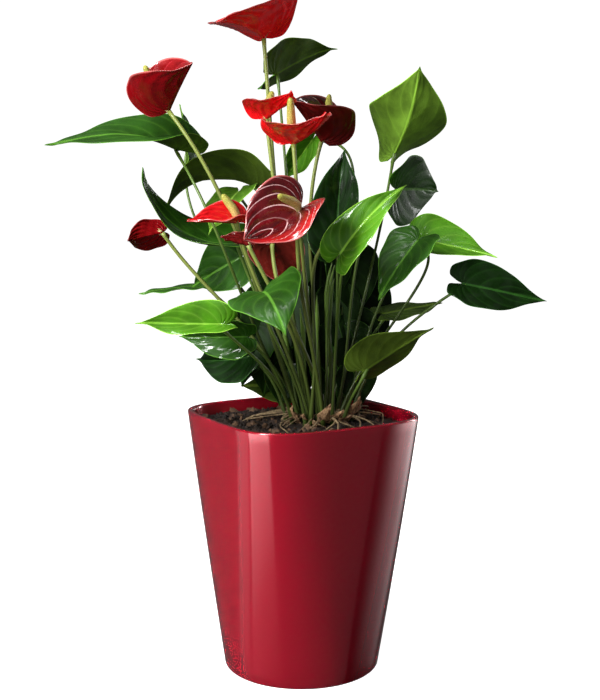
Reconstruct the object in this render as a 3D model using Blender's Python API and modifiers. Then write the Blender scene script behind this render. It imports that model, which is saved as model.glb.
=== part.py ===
"""A potted anthurium: red and maroon flowers over heart-shaped leaves, in a glossy square-topped planter.

Blender 4.5, metres, +Z up.  The origin is the centre of the planter's foot, and the planter's sides are
square to X and Y.  The plant itself is laid out in its own frame, as seen from its show side: x to the right,
y away and z up, in centimetres, and the whole plant is turned by PLANT_TURN in the planter.

Run with: blender --background --python part.py
"""
import math

import bmesh
import bpy
import numpy as np

# Planter: a round foot that grows into a rounded square rim.
POT_HEIGHT = 0.180
POT_RIM = 0.140            # across the flats
POT_FOOT = 0.109           # diameter
POT_WALL = 0.0035
POT_FLOOR = 0.0050
POT_LIP = 0.0012           # rounding of the lip and of the foot's edge
POT_SIDES = 40

# Potting soil, with a low mound under the crown of the plant.
SOIL_TOP = 0.1715
SOIL_MOUND = 0.0015
GAP = 0.0004               # between pieces that touch

# The plant.
PLANT_TURN = math.radians(-30.5)
CROWN = (1.2, 0.6)         # where the stems leave the soil, in centimetres
CROWN_INNER = 0.7          # radius of the steepest stems, in centimetres
CROWN_SPREAD = 1.7         # added for the flattest ones
FOOT_LIFT = 0.28           # the stalks' feet keep clear of the mound, in centimetres
PETIOLE = 0.0013           # radii
FLOWER_STEM = 0.0016
SPADIX_FOOT = 0.0012
SPADIX = 0.0027
LEAF_THICK = 0.0008
LEAF_WIDTH = 0.9           # for its length, where the table gives none
PETIOLE_RUN = 0.0022       # how far the petiole's end runs along the midrib, inside the blade
PETIOLE_SINK = 0.0007      # and how far it is above the blade's middle there
SPATHE_THICK = 0.0010
SPATHE_WIDTH = 1.0

# A spadix: its radius from its foot to its tip, as shares of SPADIX, and how it leaves the spathe.
SPADIX_FORM = (1.0, 1.05, 1.0, 0.85, 0.4)
SPADIX_RISE = 0.35         # the share of its length that it first rises square to the spathe
SPADIX_SWING = 0.7         # the share of its reach where it has turned to its own direction

# Half outlines of a leaf blade and of a spathe: (across, along), from the notch round the lobe to the tip.
# The blade joins its stalk at (0, 0), and its tip is at (0, 1).
LEAF_MARGIN = [(0.04, -0.10), (0.12, -0.175), (0.25, -0.16), (0.355, -0.04), (0.39, 0.12),
               (0.355, 0.33), (0.25, 0.56), (0.115, 0.76), (0.03, 0.91), (0.0, 1.0)]
SPATHE_MARGIN = [(0.05, -0.12), (0.17, -0.22), (0.34, -0.18), (0.46, -0.02), (0.48, 0.18),
                 (0.42, 0.41), (0.29, 0.63), (0.14, 0.81), (0.04, 0.93), (0.0, 1.0)]

# Every blade: its shade, where it joins its stalk (at), where its tip is, the way its upper side faces, and
# how wide it is for its length.  Its bends are in degrees: fold lifts both halves from the midrib, gather
# folds the base more, cup curls the margins up, droop bows the blade back, curl lifts its tip, twist turns
# the tip end, sweep bows it sideways and lobe lifts the two lobes.
# Its stalk: foot is where it leaves the soil, from the middle of the crown.  lean is how far it leans as it
# leaves, arrive is the way it comes in to the blade, and reach is the share of its length that it keeps to
# that way.  A flower's spadix is the way from its foot to its tip.
LEAVES = {
    "top": dict(shade="mid", at=(-1.9, 5.0, 41.6), tip=(2.7, 7.5, 43.7), faces=(-0.1, 0.55, 0.75),
                width=1.1, fold=10, gather=10, droop=15, curl=-20, arrive=(-0.1, 0.2, 1.0)),
    "far_left": dict(shade="mid", at=(-8.5, 1.2, 36.1), tip=(-16.8, -3.2, 36.2), faces=(0.0, -0.45, 0.9),
                     width=0.62, fold=5, gather=60, cup=0, droop=60, curl=30, twist=-10,
                     foot=(-1.6, -0.2), lean=0.5, arrive=(-0.5, 0.9, 0.7), reach=0.45),
    "left_edge_on": dict(shade="mid", at=(-8.6, 8.1, 35.9), tip=(-9.2, 9.1, 39.9), faces=(1.0, -0.3, 0.0),
                         droop=10, foot=(0.1, 2.4), lean=0.4),
    "left_arch": dict(shade="olive", at=(-3.2, 4.7, 33.6), tip=(-10.0, 4.2, 31.1),
                      faces=(-0.4, 0.3, 0.85), width=1.25, fold=15, gather=0, droop=110, curl=0,
                      sweep=-15),
    "left_bowl": dict(shade="mid", at=(-4.4, 1.5, 29.6), tip=(-11.1, 2.0, 35.0), faces=(0.6, -0.3, 0.75),
                      width=0.85, fold=5, gather=0, cup=20, droop=-95, sweep=0),
    "left_dark": dict(shade="mid", at=(-4.3, 4.4, 28.6), tip=(-8.2, 6.4, 26.2), faces=(0.2, -0.9, 0.4),
                      width=1.15, gather=0),
    "right_tall": dict(shade="pale", at=(6.5, 3.0, 35.8), tip=(7.8, -1.9, 41.4), faces=(0.1, 1.0, 0.3),
                       width=1.15, fold=14, gather=55, droop=15, curl=-10, sweep=20, lobe=0,
                       foot=(1.2, 0.8)),
    "centre_dark": dict(shade="dark", at=(2.5, 1.9, 29.6), tip=(3.2, 6.3, 36.4), faces=(-0.3, -0.9, 0.4),
                        width=0.7, fold=35, gather=0, droop=20, curl=-15, twist=25),
    "right_back": dict(shade="mid", at=(6.5, 1.0, 33.4), tip=(10.0, 5.5, 33.3), faces=(-0.1, -1.0, -0.1),
                       width=1.15, fold=5, gather=10, cup=5, droop=10, sweep=10),
    "front_bright": dict(shade="bright", at=(2.6, -5.0, 29.3), tip=(6.8, -4.5, 33.6),
                         faces=(-0.6, -0.85, 0.15), width=0.68, gather=5, cup=5, droop=45, lobe=-50,
                         foot=(0.9, -1.7), arrive=(0.1, -0.5, 1.0)),
    "right_bright": dict(shade="bright", at=(8.2, 1.0, 29.9), tip=(13.2, -1.8, 28.8),
                         faces=(0.0, -0.6, 0.8), gather=35, cup=-10, droop=5, foot=(1.9, 0.5)),
    "right_hanging": dict(shade="mid", at=(7.8, -1.5, 29.9), tip=(5.1, -3.0, 26.0),
                          faces=(-0.65, -0.7, 0.3), width=1.1, fold=10, gather=5, droop=15, lobe=-50),
    "far_right": dict(shade="dark", at=(11.0, -1.0, 27.0), tip=(16.8, -1.0, 25.8),
                      faces=(-0.3, -0.9, 0.4), width=0.8, gather=20, droop=10, curl=10, twist=15),
    "right_flat": dict(shade="olive", at=(6.1, 4.0, 24.5), tip=(10.5, 6.0, 25.1), faces=(0.1, -0.3, 0.9),
                       width=0.75, fold=0, gather=0, droop=0),
    "right_low": dict(shade="olive", at=(4.3, -2.0, 21.2), tip=(9.0, -1.8, 24.1), faces=(-0.3, 0.75, 0.5),
                      width=0.95, fold=15, droop=5),
    "left_bright": dict(shade="bright", at=(-5.2, -5.0, 24.6), tip=(-10.7, -6.0, 24.8),
                        faces=(0.0, -0.8, 0.6), width=0.75, fold=25, gather=25, droop=0),
    "left_glossy": dict(shade="mid", at=(-3.8, -2.0, 23.5), tip=(-8.4, -1.0, 23.4),
                        faces=(-0.1, -1.0, 0.0), width=1.0, fold=40, gather=10, twist=-15),
    "left_low": dict(shade="dark", at=(-3.6, 1.0, 21.8), tip=(-7.7, 4.0, 21.2), faces=(-0.2, -1.0, 0.0),
                     width=1.1, fold=40, droop=15, twist=-15, sweep=15),
    "left_thin": dict(shade="mid", at=(-7.1, 8.0, 26.3), tip=(-12.4, 8.1, 25.6), faces=(-0.1, -0.1, 1.0),
                      width=0.8, fold=0, gather=0, droop=5, sweep=-10, foot=(-1.4, 2.2)),
    "front_heart": dict(shade="mid", at=(-2.4, -6.2, 26.8), tip=(-0.9, -9.9, 24.4),
                        faces=(-0.3, -0.35, 0.9), width=1.3, fold=5, droop=65, sweep=20,
                        foot=(-0.9, -2.2)),
    "low_olive": dict(shade="olive", at=(-0.8, 4.4, 19.2), tip=(-4.5, 4.0, 19.2),
                      faces=(0.0, -0.95, 0.25), width=0.95, fold=5, gather=0, droop=10, curl=0,
                      foot=(-0.8, 3.8), lean=0.2),
    "left_pale": dict(shade="pale", at=(-4.5, 3.0, 33.2), tip=(-6.3, -1.0, 30.3), faces=(-0.5, -0.9, 0.0),
                      fold=5, gather=0, cup=15, curl=10),
    "centre_pale": dict(shade="bright", at=(0.8, 6.7, 37.1), tip=(-1.3, 8.2, 34.2),
                        faces=(0.5, -0.5, 0.7), fold=35, gather=15, droop=40),
    "centre_hanging": dict(shade="dark", at=(2.6, 5.2, 29.5), tip=(3.4, 4.6, 23.5),
                           faces=(0.2, -1.0, 0.4), width=0.9, foot=(0.2, 2.0)),
    "back_high": dict(shade="dark", at=(0.2, 8.6, 27.0), tip=(0.4, 9.8, 20.2), faces=(0.0, -0.9, 0.3),
                      width=1.2, droop=15, foot=(0.5, 3.7)),
    "back_right": dict(shade="dark", at=(3.9, 7.0, 26.0), tip=(5.8, 8.6, 19.8), faces=(0.2, -0.9, 0.4),
                       width=1.0, droop=15, foot=(0.7, 2.4)),
    "back_left": dict(shade="dark", at=(-1.4, 6.4, 24.8), tip=(-3.2, 8.4, 19.6), faces=(-0.2, -0.9, 0.4),
                      width=1.05, droop=15, foot=(-0.5, 3.4)),
}

FLOWERS = {
    "top": dict(shade="red", at=(-2.5, -1.0, 43.3), tip=(-5.2, -6.5, 43.5), faces=(-0.1, 0.3, 0.9),
                width=1.15, gather=15, cup=10, sweep=15, spadix=(0.6, -0.4, 1.2), foot=(-0.6, 0.2)),
    "left": dict(shade="red", at=(-8.8, -1.6, 38.5), tip=(-6.9, -4.6, 41.3), faces=(-0.95, 0.75, -0.05),
                 width=1.6, fold=27, gather=14, cup=38, droop=5, twist=0, sweep=0,
                 spadix=(-1.5, -0.5, 2.9), foot=(-1.3, -0.8), lean=0.35, arrive=(-0.6, 0.3, 0.75),
                 reach=0.35),
    "small": dict(shade="red", at=(-2.3, -2.8, 37.9), tip=(-0.6, -5.2, 39.5), faces=(-0.3, 0.4, 0.8),
                  width=1.25, fold=20, gather=20, droop=-5, curl=40, spadix=(0.4, 0.3, 1.8),
                  foot=(-0.5, -0.6)),
    "cup": dict(shade="red", at=(-0.5, -5.0, 36.2), tip=(1.5, -9.5, 37.8), faces=(-0.3, 0.6, 0.8),
                width=1.1, gather=5, cup=25, droop=-20, curl=10, twist=20, spadix=(-0.2, -0.6, 2.8),
                foot=(0.1, -1.3)),
    "maroon": dict(shade="maroon", at=(1.4, 1.6, 36.7), tip=(-0.7, -1.2, 39.3), faces=(0.95, 0.7, 0.1),
                   width=1.5, fold=27, gather=11, cup=38, droop=5, spadix=(0.5, -1.0, 3.1)),
    "front": dict(shade="maroon", at=(-0.2, -6.0, 31.9), tip=(-3.5, -9.5, 30.2), faces=(-0.2, -0.8, 0.5),
                  width=1.1, fold=10, gather=30, cup=15, droop=-20, curl=25, spadix=(-1.2, -1.8, 1.0),
                  foot=(0.3, -2.1)),
    "side": dict(shade="red", at=(-4.2, -4.0, 31.2), tip=(-7.3, -5.5, 31.3), faces=(0.0, -0.5, 0.9),
                 width=0.95, fold=25, gather=15, cup=15, droop=0, spadix=(-0.9, -0.3, 1.8),
                 foot=(-0.6, -1.3), lean=0.3, arrive=(-0.2, -0.5, 0.9)),
    "far_left": dict(shade="red", at=(-9.8, 2.0, 30.4), tip=(-11.9, 0.0, 29.9), faces=(-0.3, 0.9, 0.0),
                     fold=35, gather=10, droop=40, spadix=(-1.2, 1.2, 0.6), foot=(-1.9, 0.6),
                     arrive=(-0.5, -0.2, 0.8)),
    "hanging": dict(shade="brown", at=(-1.9, -4.0, 29.8), tip=(-0.3, -2.5, 26.7), faces=(0.0, 1.0, 0.3),
                    width=1.05, fold=10, droop=0, spadix=(0.5, 1.0, 0.1), foot=(0.5, -0.5)),
    "dark": dict(shade="maroon", at=(-3.4, -5.3, 29.8), tip=(-5.2, -5.3, 30.3), faces=(0.0, 0.6, 0.8),
                 width=1.0, fold=25, gather=0, cup=0, droop=0, spadix=(-0.3, 1.0, 0.9), foot=(-0.5, -1.9),
                 lean=0.1, arrive=(-0.45, -0.1, 0.9)),
}

SHADES = {"bright": (0.06, 0.24, 0.02), "mid": (0.03, 0.13, 0.015), "dark": (0.006, 0.03, 0.006),
          "olive": (0.06, 0.11, 0.02), "pale": (0.15, 0.30, 0.05), "red": (0.50, 0.01, 0.015),
          "maroon": (0.08, 0.005, 0.01), "brown": (0.20, 0.02, 0.01)}
STALK_GREEN = (0.22, 0.30, 0.08)
SPADIX_YELLOW = (0.65, 0.55, 0.18)
POT_RED = (0.30, 0.006, 0.02)
SOIL_BROWN = (0.02, 0.012, 0.008)

SHARP_ANGLE = math.radians(40)
BLADE_ACROSS = 6           # faces from margin to margin
BLADE_ROUND = 8            # faces from the notch round to the tip
STALK_POINTS = 7


def collection(name, shown):
    """A collection of its own for the model's pieces, or a hidden one for the tools that shape them."""
    made = bpy.data.collections.new(name)
    bpy.context.scene.collection.children.link(made)
    made.hide_render = not shown
    return made


def paint(piece, colour, roughness):
    """Give a piece its own plain material."""
    made = bpy.data.materials.new(piece.name)
    made.use_nodes = True
    surface = made.node_tree.nodes["Principled BSDF"]
    surface.inputs["Base Color"].default_value = (*colour, 1.0)
    surface.inputs["Roughness"].default_value = roughness
    surface.inputs["Metallic"].default_value = 0.0
    piece.data.materials.clear()
    piece.data.materials.append(made)


def add(name, bm, home, parent=None):
    """Turn a bmesh into an object in the collection home."""
    mesh = bpy.data.meshes.new(name)
    bm.to_mesh(mesh)
    bm.free()
    mesh.shade_smooth()
    mesh.set_sharp_from_angle(angle=SHARP_ANGLE)
    piece = bpy.data.objects.new(name, mesh)
    home.objects.link(piece)
    piece.parent = parent
    return piece


# ---------------------------------------------------------------- planter and soil
def pot_section(z, inset):
    """The outline of the planter at height z, moved in by inset: a circle that turns into a square."""
    share = z / POT_HEIGHT
    half = POT_FOOT / 2 + (POT_RIM - POT_FOOT) / 2 * share**0.9 - inset
    power = 2 + 1.8 * share**1.2
    angles = 2 * math.pi * np.arange(POT_SIDES) / POT_SIDES
    cos, sin = np.cos(angles), np.sin(angles)
    reach = half / (np.abs(cos) ** power + np.abs(sin) ** power) ** (1 / power)
    return np.stack([reach * cos, reach * sin, np.full(POT_SIDES, z)], 1)


def loft(rings):
    """A closed body through the rings, from the middle of its underside round to its inside or top."""
    bm = bmesh.new()
    rows = [[bm.verts.new(point) for point in ring] for ring in rings]
    for low, high in zip(rows, rows[1:]):
        for k in range(len(low)):
            after = (k + 1) % len(low)
            bm.faces.new((low[k], low[after], high[after], high[k]))
    bm.faces.new(rows[0][::-1])
    bm.faces.new(rows[-1])
    bmesh.ops.recalc_face_normals(bm, faces=bm.faces)
    return bm


OUTER_LEVELS = (POT_LIP, 0.03, 0.06, 0.09, 0.12, 0.15, POT_HEIGHT - POT_LIP)
INNER_LEVELS = (POT_HEIGHT - POT_LIP, SOIL_TOP, 0.13, 0.09, 0.05, POT_FLOOR)


def make_pot(home):
    rings = [pot_section(0, POT_LIP)]
    rings += [pot_section(z, 0) for z in OUTER_LEVELS]
    rings += [pot_section(POT_HEIGHT, inset) for inset in (POT_LIP, POT_WALL - POT_LIP)]
    rings += [pot_section(z, POT_WALL) for z in INNER_LEVELS]
    pot = add("pot", loft(rings), home)
    paint(pot, POT_RED, 0.12)


def make_soil(home):
    """Soil up to just under the rim: its sides keep clear of the wall, and its top rises in the middle."""
    sides = [POT_FLOOR + GAP] + list(INNER_LEVELS[4:0:-1])
    rings = [pot_section(z, POT_WALL + GAP) for z in sides]
    edge = rings[-1]
    for spread, rise in ((0.7, 0.4), (0.3, 1.0)):
        ring = edge * (spread, spread, 1) + (0, 0, SOIL_MOUND * rise)
        rings.append(ring)
    soil = add("soil", loft(rings), home)
    paint(soil, SOIL_BROWN, 0.95)


# ---------------------------------------------------------------- blades
def through(points, share):
    """Places along a smooth curve through the points, at shares 0 to 1 of the way."""
    p = np.array(points, float)
    p = np.vstack([2 * p[0] - p[1], p, 2 * p[-1] - p[-2]])
    last = len(points) - 1
    k = np.clip((share * last).astype(int), 0, last - 1)
    f = (share * last - k)[:, None]
    a, b, c, d = p[k], p[k + 1], p[k + 2], p[k + 3]
    return 0.5 * (2 * b + (c - a) * f + (2 * a - 5 * b + 4 * c - d) * f**2 + (3 * b - a - 3 * c + d) * f**3)


FAN = 0.42                 # the share of the outline that the joint fans out to, before the midrib starts


def flat_blade(share, side, margin, width):
    """Places on the flat blade of length 1: share runs round the outline, side from -1 to 1 across it."""
    edge = through(margin, share)
    midrib = np.clip((share - FAN) / (1 - FAN), 0, 1) ** 1.15
    return side * edge[:, 0] * width, midrib + np.abs(side) * (edge[:, 1] - midrib)


def bend(x, y, fold=15, gather=10, cup=0, droop=20, curl=0, twist=0, sweep=0, lobe=0):
    """The flat blade bent in space: x to its right, y along it, z up from its upper side."""
    t = np.linspace(-0.4, 1.05, 96)
    end = np.clip((t - 0.55) / 0.45, 0, 1)
    back = np.clip(-t, 0, 1) / 0.25
    fall = math.radians(droop) * np.clip(t, 0, 2) ** 1.2
    fall += math.radians(lobe) * back - math.radians(curl) * end**2
    turn = math.radians(sweep) * np.clip(t, 0, 2)
    step = np.stack([np.sin(turn) * np.cos(fall), np.cos(turn) * np.cos(fall), -np.sin(fall)], 1)
    spine = np.vstack([[0, 0, 0], np.cumsum((step[1:] + step[:-1]) / 2, 0) * (t[1] - t[0])])
    spine = spine - [np.interp(0, t, spine[:, k]) for k in range(3)]
    centre = np.stack([np.interp(y, t, spine[:, k]) for k in range(3)], 1)
    fall, turn = np.interp(y, t, fall), np.interp(y, t, turn)
    along = np.stack([np.sin(turn) * np.cos(fall), np.cos(turn) * np.cos(fall), -np.sin(fall)], 1)
    right = np.stack([np.cos(turn), -np.sin(turn), 0 * turn], 1)
    up = np.cross(right, along)
    spin = (math.radians(twist) * np.clip(y, 0, 1))[:, None]
    right, up = right * np.cos(spin) - up * np.sin(spin), up * np.cos(spin) + right * np.sin(spin)
    near_base = np.clip((0.55 - y) / 0.75, 0, 1)
    lean = np.radians(fold + gather * near_base**2 * (3 - 2 * near_base))
    curve = math.radians(cup) / 0.4 + 1e-6
    far = np.abs(x)
    across = (np.sin(lean + curve * far) - np.sin(lean)) / curve
    rise = (np.cos(lean) - np.cos(lean + curve * far)) / curve
    return centre + right * (np.sign(x) * across)[:, None] + up * rise[:, None]


BENDS = ("fold", "gather", "cup", "droop", "curl", "twist", "sweep", "lobe")


class Blade:
    """A leaf blade or spathe from the tables, placed so that its joint and tip are where the table says."""

    def __init__(self, spec, margin, width):
        self.margin = margin
        self.width = spec.get("width", width)
        self.bends = {name: spec[name] for name in BENDS if name in spec}
        self.joint = np.array(spec["at"]) / 100
        chord = np.array(spec["tip"]) / 100 - self.joint
        tip = bend(np.zeros(1), np.ones(1), **self.bends)[0]
        own_along = tip / np.linalg.norm(tip)
        own_right = np.array([1, 0, 0]) - own_along[0] * own_along
        own_right /= np.linalg.norm(own_right)
        own_up = np.cross(own_right, own_along)
        along = chord / np.linalg.norm(chord)
        faces = np.array(spec["faces"], float)
        up = faces - (faces @ along) * along
        up /= np.linalg.norm(up)
        turn = np.outer(np.cross(along, up), own_right)
        turn += np.outer(along, own_along) + np.outer(up, own_up)
        self.along, self.up = turn[:, 1], turn[:, 2]
        self.turn = turn * np.linalg.norm(chord) / np.linalg.norm(tip)

    def grid(self, rounds, across):
        shares, sides = np.linspace(0, 1, rounds + 1), np.linspace(-1, 1, across + 1)
        share, side = np.meshgrid(shares, sides, indexing="ij")
        x, y = flat_blade(share.ravel(), side.ravel(), self.margin, self.width)
        places = bend(x, y, **self.bends) @ self.turn.T + self.joint
        return places.reshape(rounds + 1, across + 1, 3)


def make_blade(name, blade, thickness, home, parent):
    """The blade as an open sheet with a Solidify modifier: its faces fan out from one point, the joint."""
    bm = bmesh.new()
    rows = [[bm.verts.new(place) for place in row] for row in blade.grid(BLADE_ROUND, BLADE_ACROSS)]
    for here, after in zip(rows, rows[1:]):
        for k in range(BLADE_ACROSS):
            bm.faces.new((here[k], here[k + 1], after[k + 1], after[k]))
    bmesh.ops.remove_doubles(bm, verts=bm.verts, dist=1e-6)
    piece = add(name, bm, home, parent)
    shell = piece.modifiers.new("thickness", "SOLIDIFY")
    shell.thickness = thickness
    shell.offset = 0
    return piece


# ---------------------------------------------------------------- stalks
def unit(vector):
    return np.array(vector, float) / np.linalg.norm(vector)


def bezier(start, leave, arrive, end, count):
    t = np.linspace(0, 1, count)[:, None]
    return (1 - t) ** 3 * start + 3 * (1 - t) ** 2 * t * leave + 3 * (1 - t) * t**2 * arrive + t**3 * end


def foot_of(spec):
    """Where a stalk leaves the soil: towards its blade, further out the flatter it has to reach."""
    crown = np.array([*CROWN, SOIL_TOP * 100]) / 100
    if "foot" in spec:
        return crown + np.array([*spec["foot"], FOOT_LIFT]) / 100
    out = np.array(spec["at"]) / 100 - crown
    reach = math.hypot(out[0], out[1])
    flatness = min(1, reach / max(out[2], 0.01) / 1.1)
    radius = (CROWN_INNER + CROWN_SPREAD * flatness) / 100
    return crown + np.array([out[0] / reach * radius, out[1] / reach * radius, FOOT_LIFT / 100])


def stalk_line(spec, end, arrive, count):
    """From the soil up to end: it leaves leaning outwards and comes in along arrive."""
    foot = foot_of(spec)
    span = np.linalg.norm(end - foot)
    out = unit((end - foot) * (1, 1, 0))
    leave = unit(np.array([0, 0, 1]) + spec.get("lean", 0.25) * out)
    arrive = unit(spec.get("arrive", arrive))
    reach = spec.get("reach", 0.35)
    return bezier(foot, foot + leave * span * 0.4, end - arrive * span * reach, end, count)


def make_stalk(name, line, radii, home, parent):
    """A tube through the points of the line, as a mesh with its caps welded on."""
    curve = bpy.data.curves.new(name, "CURVE")
    curve.dimensions = "3D"
    curve.bevel_depth = 1.0
    curve.bevel_resolution = 1
    curve.use_fill_caps = True
    spline = curve.splines.new("POLY")
    spline.points.add(len(line) - 1)
    for point, place, radius in zip(spline.points, line, radii):
        point.co = (*place, 1)
        point.radius = radius
    tube = bpy.data.objects.new(name, curve)
    home.objects.link(tube)
    bpy.context.view_layer.update()
    solid = tube.evaluated_get(bpy.context.evaluated_depsgraph_get())
    mesh = bpy.data.meshes.new_from_object(solid)
    bpy.data.objects.remove(tube)
    bpy.data.curves.remove(curve)
    bm = bmesh.new()
    bm.from_mesh(mesh)
    bmesh.ops.remove_doubles(bm, verts=bm.verts, dist=1e-5)
    bmesh.ops.recalc_face_normals(bm, faces=bm.faces)
    bpy.data.meshes.remove(mesh)
    return add(name, bm, home, parent)


def make_leaf(key, spec, home, tools, plant):
    """A leaf is one piece: its blade joined to its stalk."""
    blade = Blade(spec, LEAF_MARGIN, LEAF_WIDTH)
    leaf = make_blade("leaf_" + key, blade, LEAF_THICK, home, plant)
    arrive = 0.8 * blade.along + 0.3 * blade.up + (0, 0, 0.6)
    end = blade.joint + PETIOLE_RUN * blade.along + PETIOLE_SINK * blade.up
    line = stalk_line(spec, end, arrive, STALK_POINTS)
    stalk = make_stalk("stalk_tool_" + key, line, [PETIOLE] * STALK_POINTS, tools, plant)
    stalk.hide_render = True
    stalk.display_type = "WIRE"
    join = leaf.modifiers.new("stalk", "BOOLEAN")
    join.operation = "UNION"
    join.object = stalk
    paint(leaf, SHADES[spec["shade"]], 0.25)


def make_flower(key, spec, home, plant):
    """A flower is three pieces: its stem, the heart-shaped spathe and the spadix that stands on it."""
    blade = Blade(spec, SPATHE_MARGIN, SPATHE_WIDTH)
    spathe = make_blade("spathe_" + key, blade, SPATHE_THICK, home, plant)
    paint(spathe, SHADES[spec["shade"]], 0.2)
    arrive = unit(spec.get("arrive", 0.5 * blade.up + (0, 0, 0.8)))
    tilt = math.sqrt(max(0, 1 - float(arrive @ blade.up) ** 2))
    clear = SPATHE_THICK / 2 + GAP + FLOWER_STEM * (tilt + 0.4)
    line = stalk_line(spec, blade.joint - clear * blade.up, arrive, STALK_POINTS)
    stem = make_stalk("stem_" + key, line, [FLOWER_STEM] * STALK_POINTS, home, plant)
    paint(stem, STALK_GREEN, 0.4)
    reach = np.array(spec["spadix"]) / 100
    lean = math.radians(spec.get("fold", 15) + spec.get("gather", 10))
    base = blade.joint + ((SPATHE_THICK / 2 + GAP) / math.cos(lean) + SPADIX_FOOT * math.tan(lean)) * blade.up
    rise = SPADIX_RISE * np.linalg.norm(reach) * blade.up
    radii = [SPADIX_FOOT] + [SPADIX * share for share in SPADIX_FORM]
    line = bezier(base, base + rise, base + SPADIX_SWING * reach, base + reach, len(radii))
    spadix = make_stalk("spadix_" + key, line, radii, home, plant)
    paint(spadix, SPADIX_YELLOW, 0.5)


for old in list(bpy.data.objects):
    bpy.data.objects.remove(old)
model = collection("potted_anthurium", True)
tools = collection("tools", False)
make_pot(model)
make_soil(model)
plant = bpy.data.objects.new("plant", None)
plant.rotation_euler = (0, 0, PLANT_TURN)
model.objects.link(plant)
for key, spec in LEAVES.items():
    make_leaf(key, spec, model, tools, plant)
for key, spec in FLOWERS.items():
    make_flower(key, spec, model, plant)
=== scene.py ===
"""A potted anthurium: red and maroon flowers over heart-shaped leaves, in a glossy square-rimmed planter."""
import math

import bmesh
import bpy
import numpy as np
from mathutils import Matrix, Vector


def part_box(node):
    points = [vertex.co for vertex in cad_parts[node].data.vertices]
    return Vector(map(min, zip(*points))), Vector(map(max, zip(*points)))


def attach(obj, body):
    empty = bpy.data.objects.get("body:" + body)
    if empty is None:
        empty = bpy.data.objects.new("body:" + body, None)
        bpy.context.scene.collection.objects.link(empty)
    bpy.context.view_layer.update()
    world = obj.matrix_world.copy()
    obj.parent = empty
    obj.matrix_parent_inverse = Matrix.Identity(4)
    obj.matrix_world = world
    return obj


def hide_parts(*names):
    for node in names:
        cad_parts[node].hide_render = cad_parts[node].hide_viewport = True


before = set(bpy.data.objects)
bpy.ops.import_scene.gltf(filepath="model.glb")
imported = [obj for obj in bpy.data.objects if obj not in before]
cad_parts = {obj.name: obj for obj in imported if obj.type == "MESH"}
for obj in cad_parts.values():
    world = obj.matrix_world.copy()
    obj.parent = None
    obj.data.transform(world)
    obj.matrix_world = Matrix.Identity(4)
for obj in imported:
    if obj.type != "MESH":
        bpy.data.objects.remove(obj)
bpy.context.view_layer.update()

# ---------------------------------------------------------------- what all the pieces share
SHOW_TURN = math.radians(-30.5)     # how far the show side is turned from the planter's own front
GOLDEN_TURN = 2.39996               # turns and shares in golden steps spread pieces evenly
GOLDEN_SHARE = 0.618


def turned(places):
    """Places given as seen from the show side (right, away, up), in the planter's own frame."""
    cos, sin = math.cos(SHOW_TURN), math.sin(SHOW_TURN)
    return np.asarray(places, float) @ np.array([[cos, sin, 0], [-sin, cos, 0], [0, 0, 1]])


def quads(here, after):
    """The faces between the rows of two grids of place numbers; after holds each place's neighbour."""
    return np.stack([here[:-1], after[:-1], after[1:], here[1:]], -1).reshape(-1, 4)


def new_mesh(name, places, faces):
    mesh = bpy.data.meshes.new(name)
    mesh.from_pydata(places.reshape(-1, 3).tolist(), [], faces.reshape(-1, faces.shape[-1]).tolist())
    return mesh


def map_corners(mesh, layer, values):
    """A UV map from a value for each place of the mesh."""
    corners = np.zeros(len(mesh.loops), np.int32)
    mesh.loops.foreach_get("vertex_index", corners)
    values = values.reshape(-1, 2)[corners].astype(np.float32)
    mesh.uv_layers.new(name=layer).data.foreach_set("uv", values.ravel())


def new_object(name, data):
    """An object in the scene that holds a mesh, a lamp or the camera."""
    made = bpy.data.objects.new(name, data)
    bpy.context.scene.collection.objects.link(made)
    return made


def scaled(colour, share):
    return tuple(min(1.0, share * part) for part in colour)


# ---------------------------------------------------------------- the planter
# One moulded shell, lacquered deep red: a round foot that grows into a rounded square rim, with a thin
# rolled lip.  Its outline at each height is a superellipse, from a circle at the foot to nearly a square.
RIM_HALF, _, POT_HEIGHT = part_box("pot")[1]
FOOT_HALF = 0.0545
FLARE = 0.9                # how the half width grows with height
FOOT_POWER = 2.0           # the superellipse's power at the foot, a circle
POWER_GROWTH = 1.8         # what the power gains by the rim
SQUARING = 1.2             # how the power grows with height
POT_WALL = 0.0035
POT_LIP = 0.0012
POT_FLOOR = 0.0050
LACQUER_RED = (0.25, 0.0025, 0.012)


def planter_ring(z, inset, angle):
    """The planter's outline at height z, moved in by inset: |x|^n + |y|^n = half^n, and n grows with z."""
    share = np.clip(z / POT_HEIGHT, 0, 1)
    half = FOOT_HALF + (RIM_HALF - FOOT_HALF) * share**FLARE - inset
    power = FOOT_POWER + POWER_GROWTH * share**SQUARING
    cos, sin = np.cos(angle), np.sin(angle)
    reach = half / (np.abs(cos) ** power + np.abs(sin) ** power) ** (1 / power)
    return np.stack([reach * cos, reach * sin, z + 0 * angle], -1)


MERGE_WITHIN = 2e-6


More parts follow.
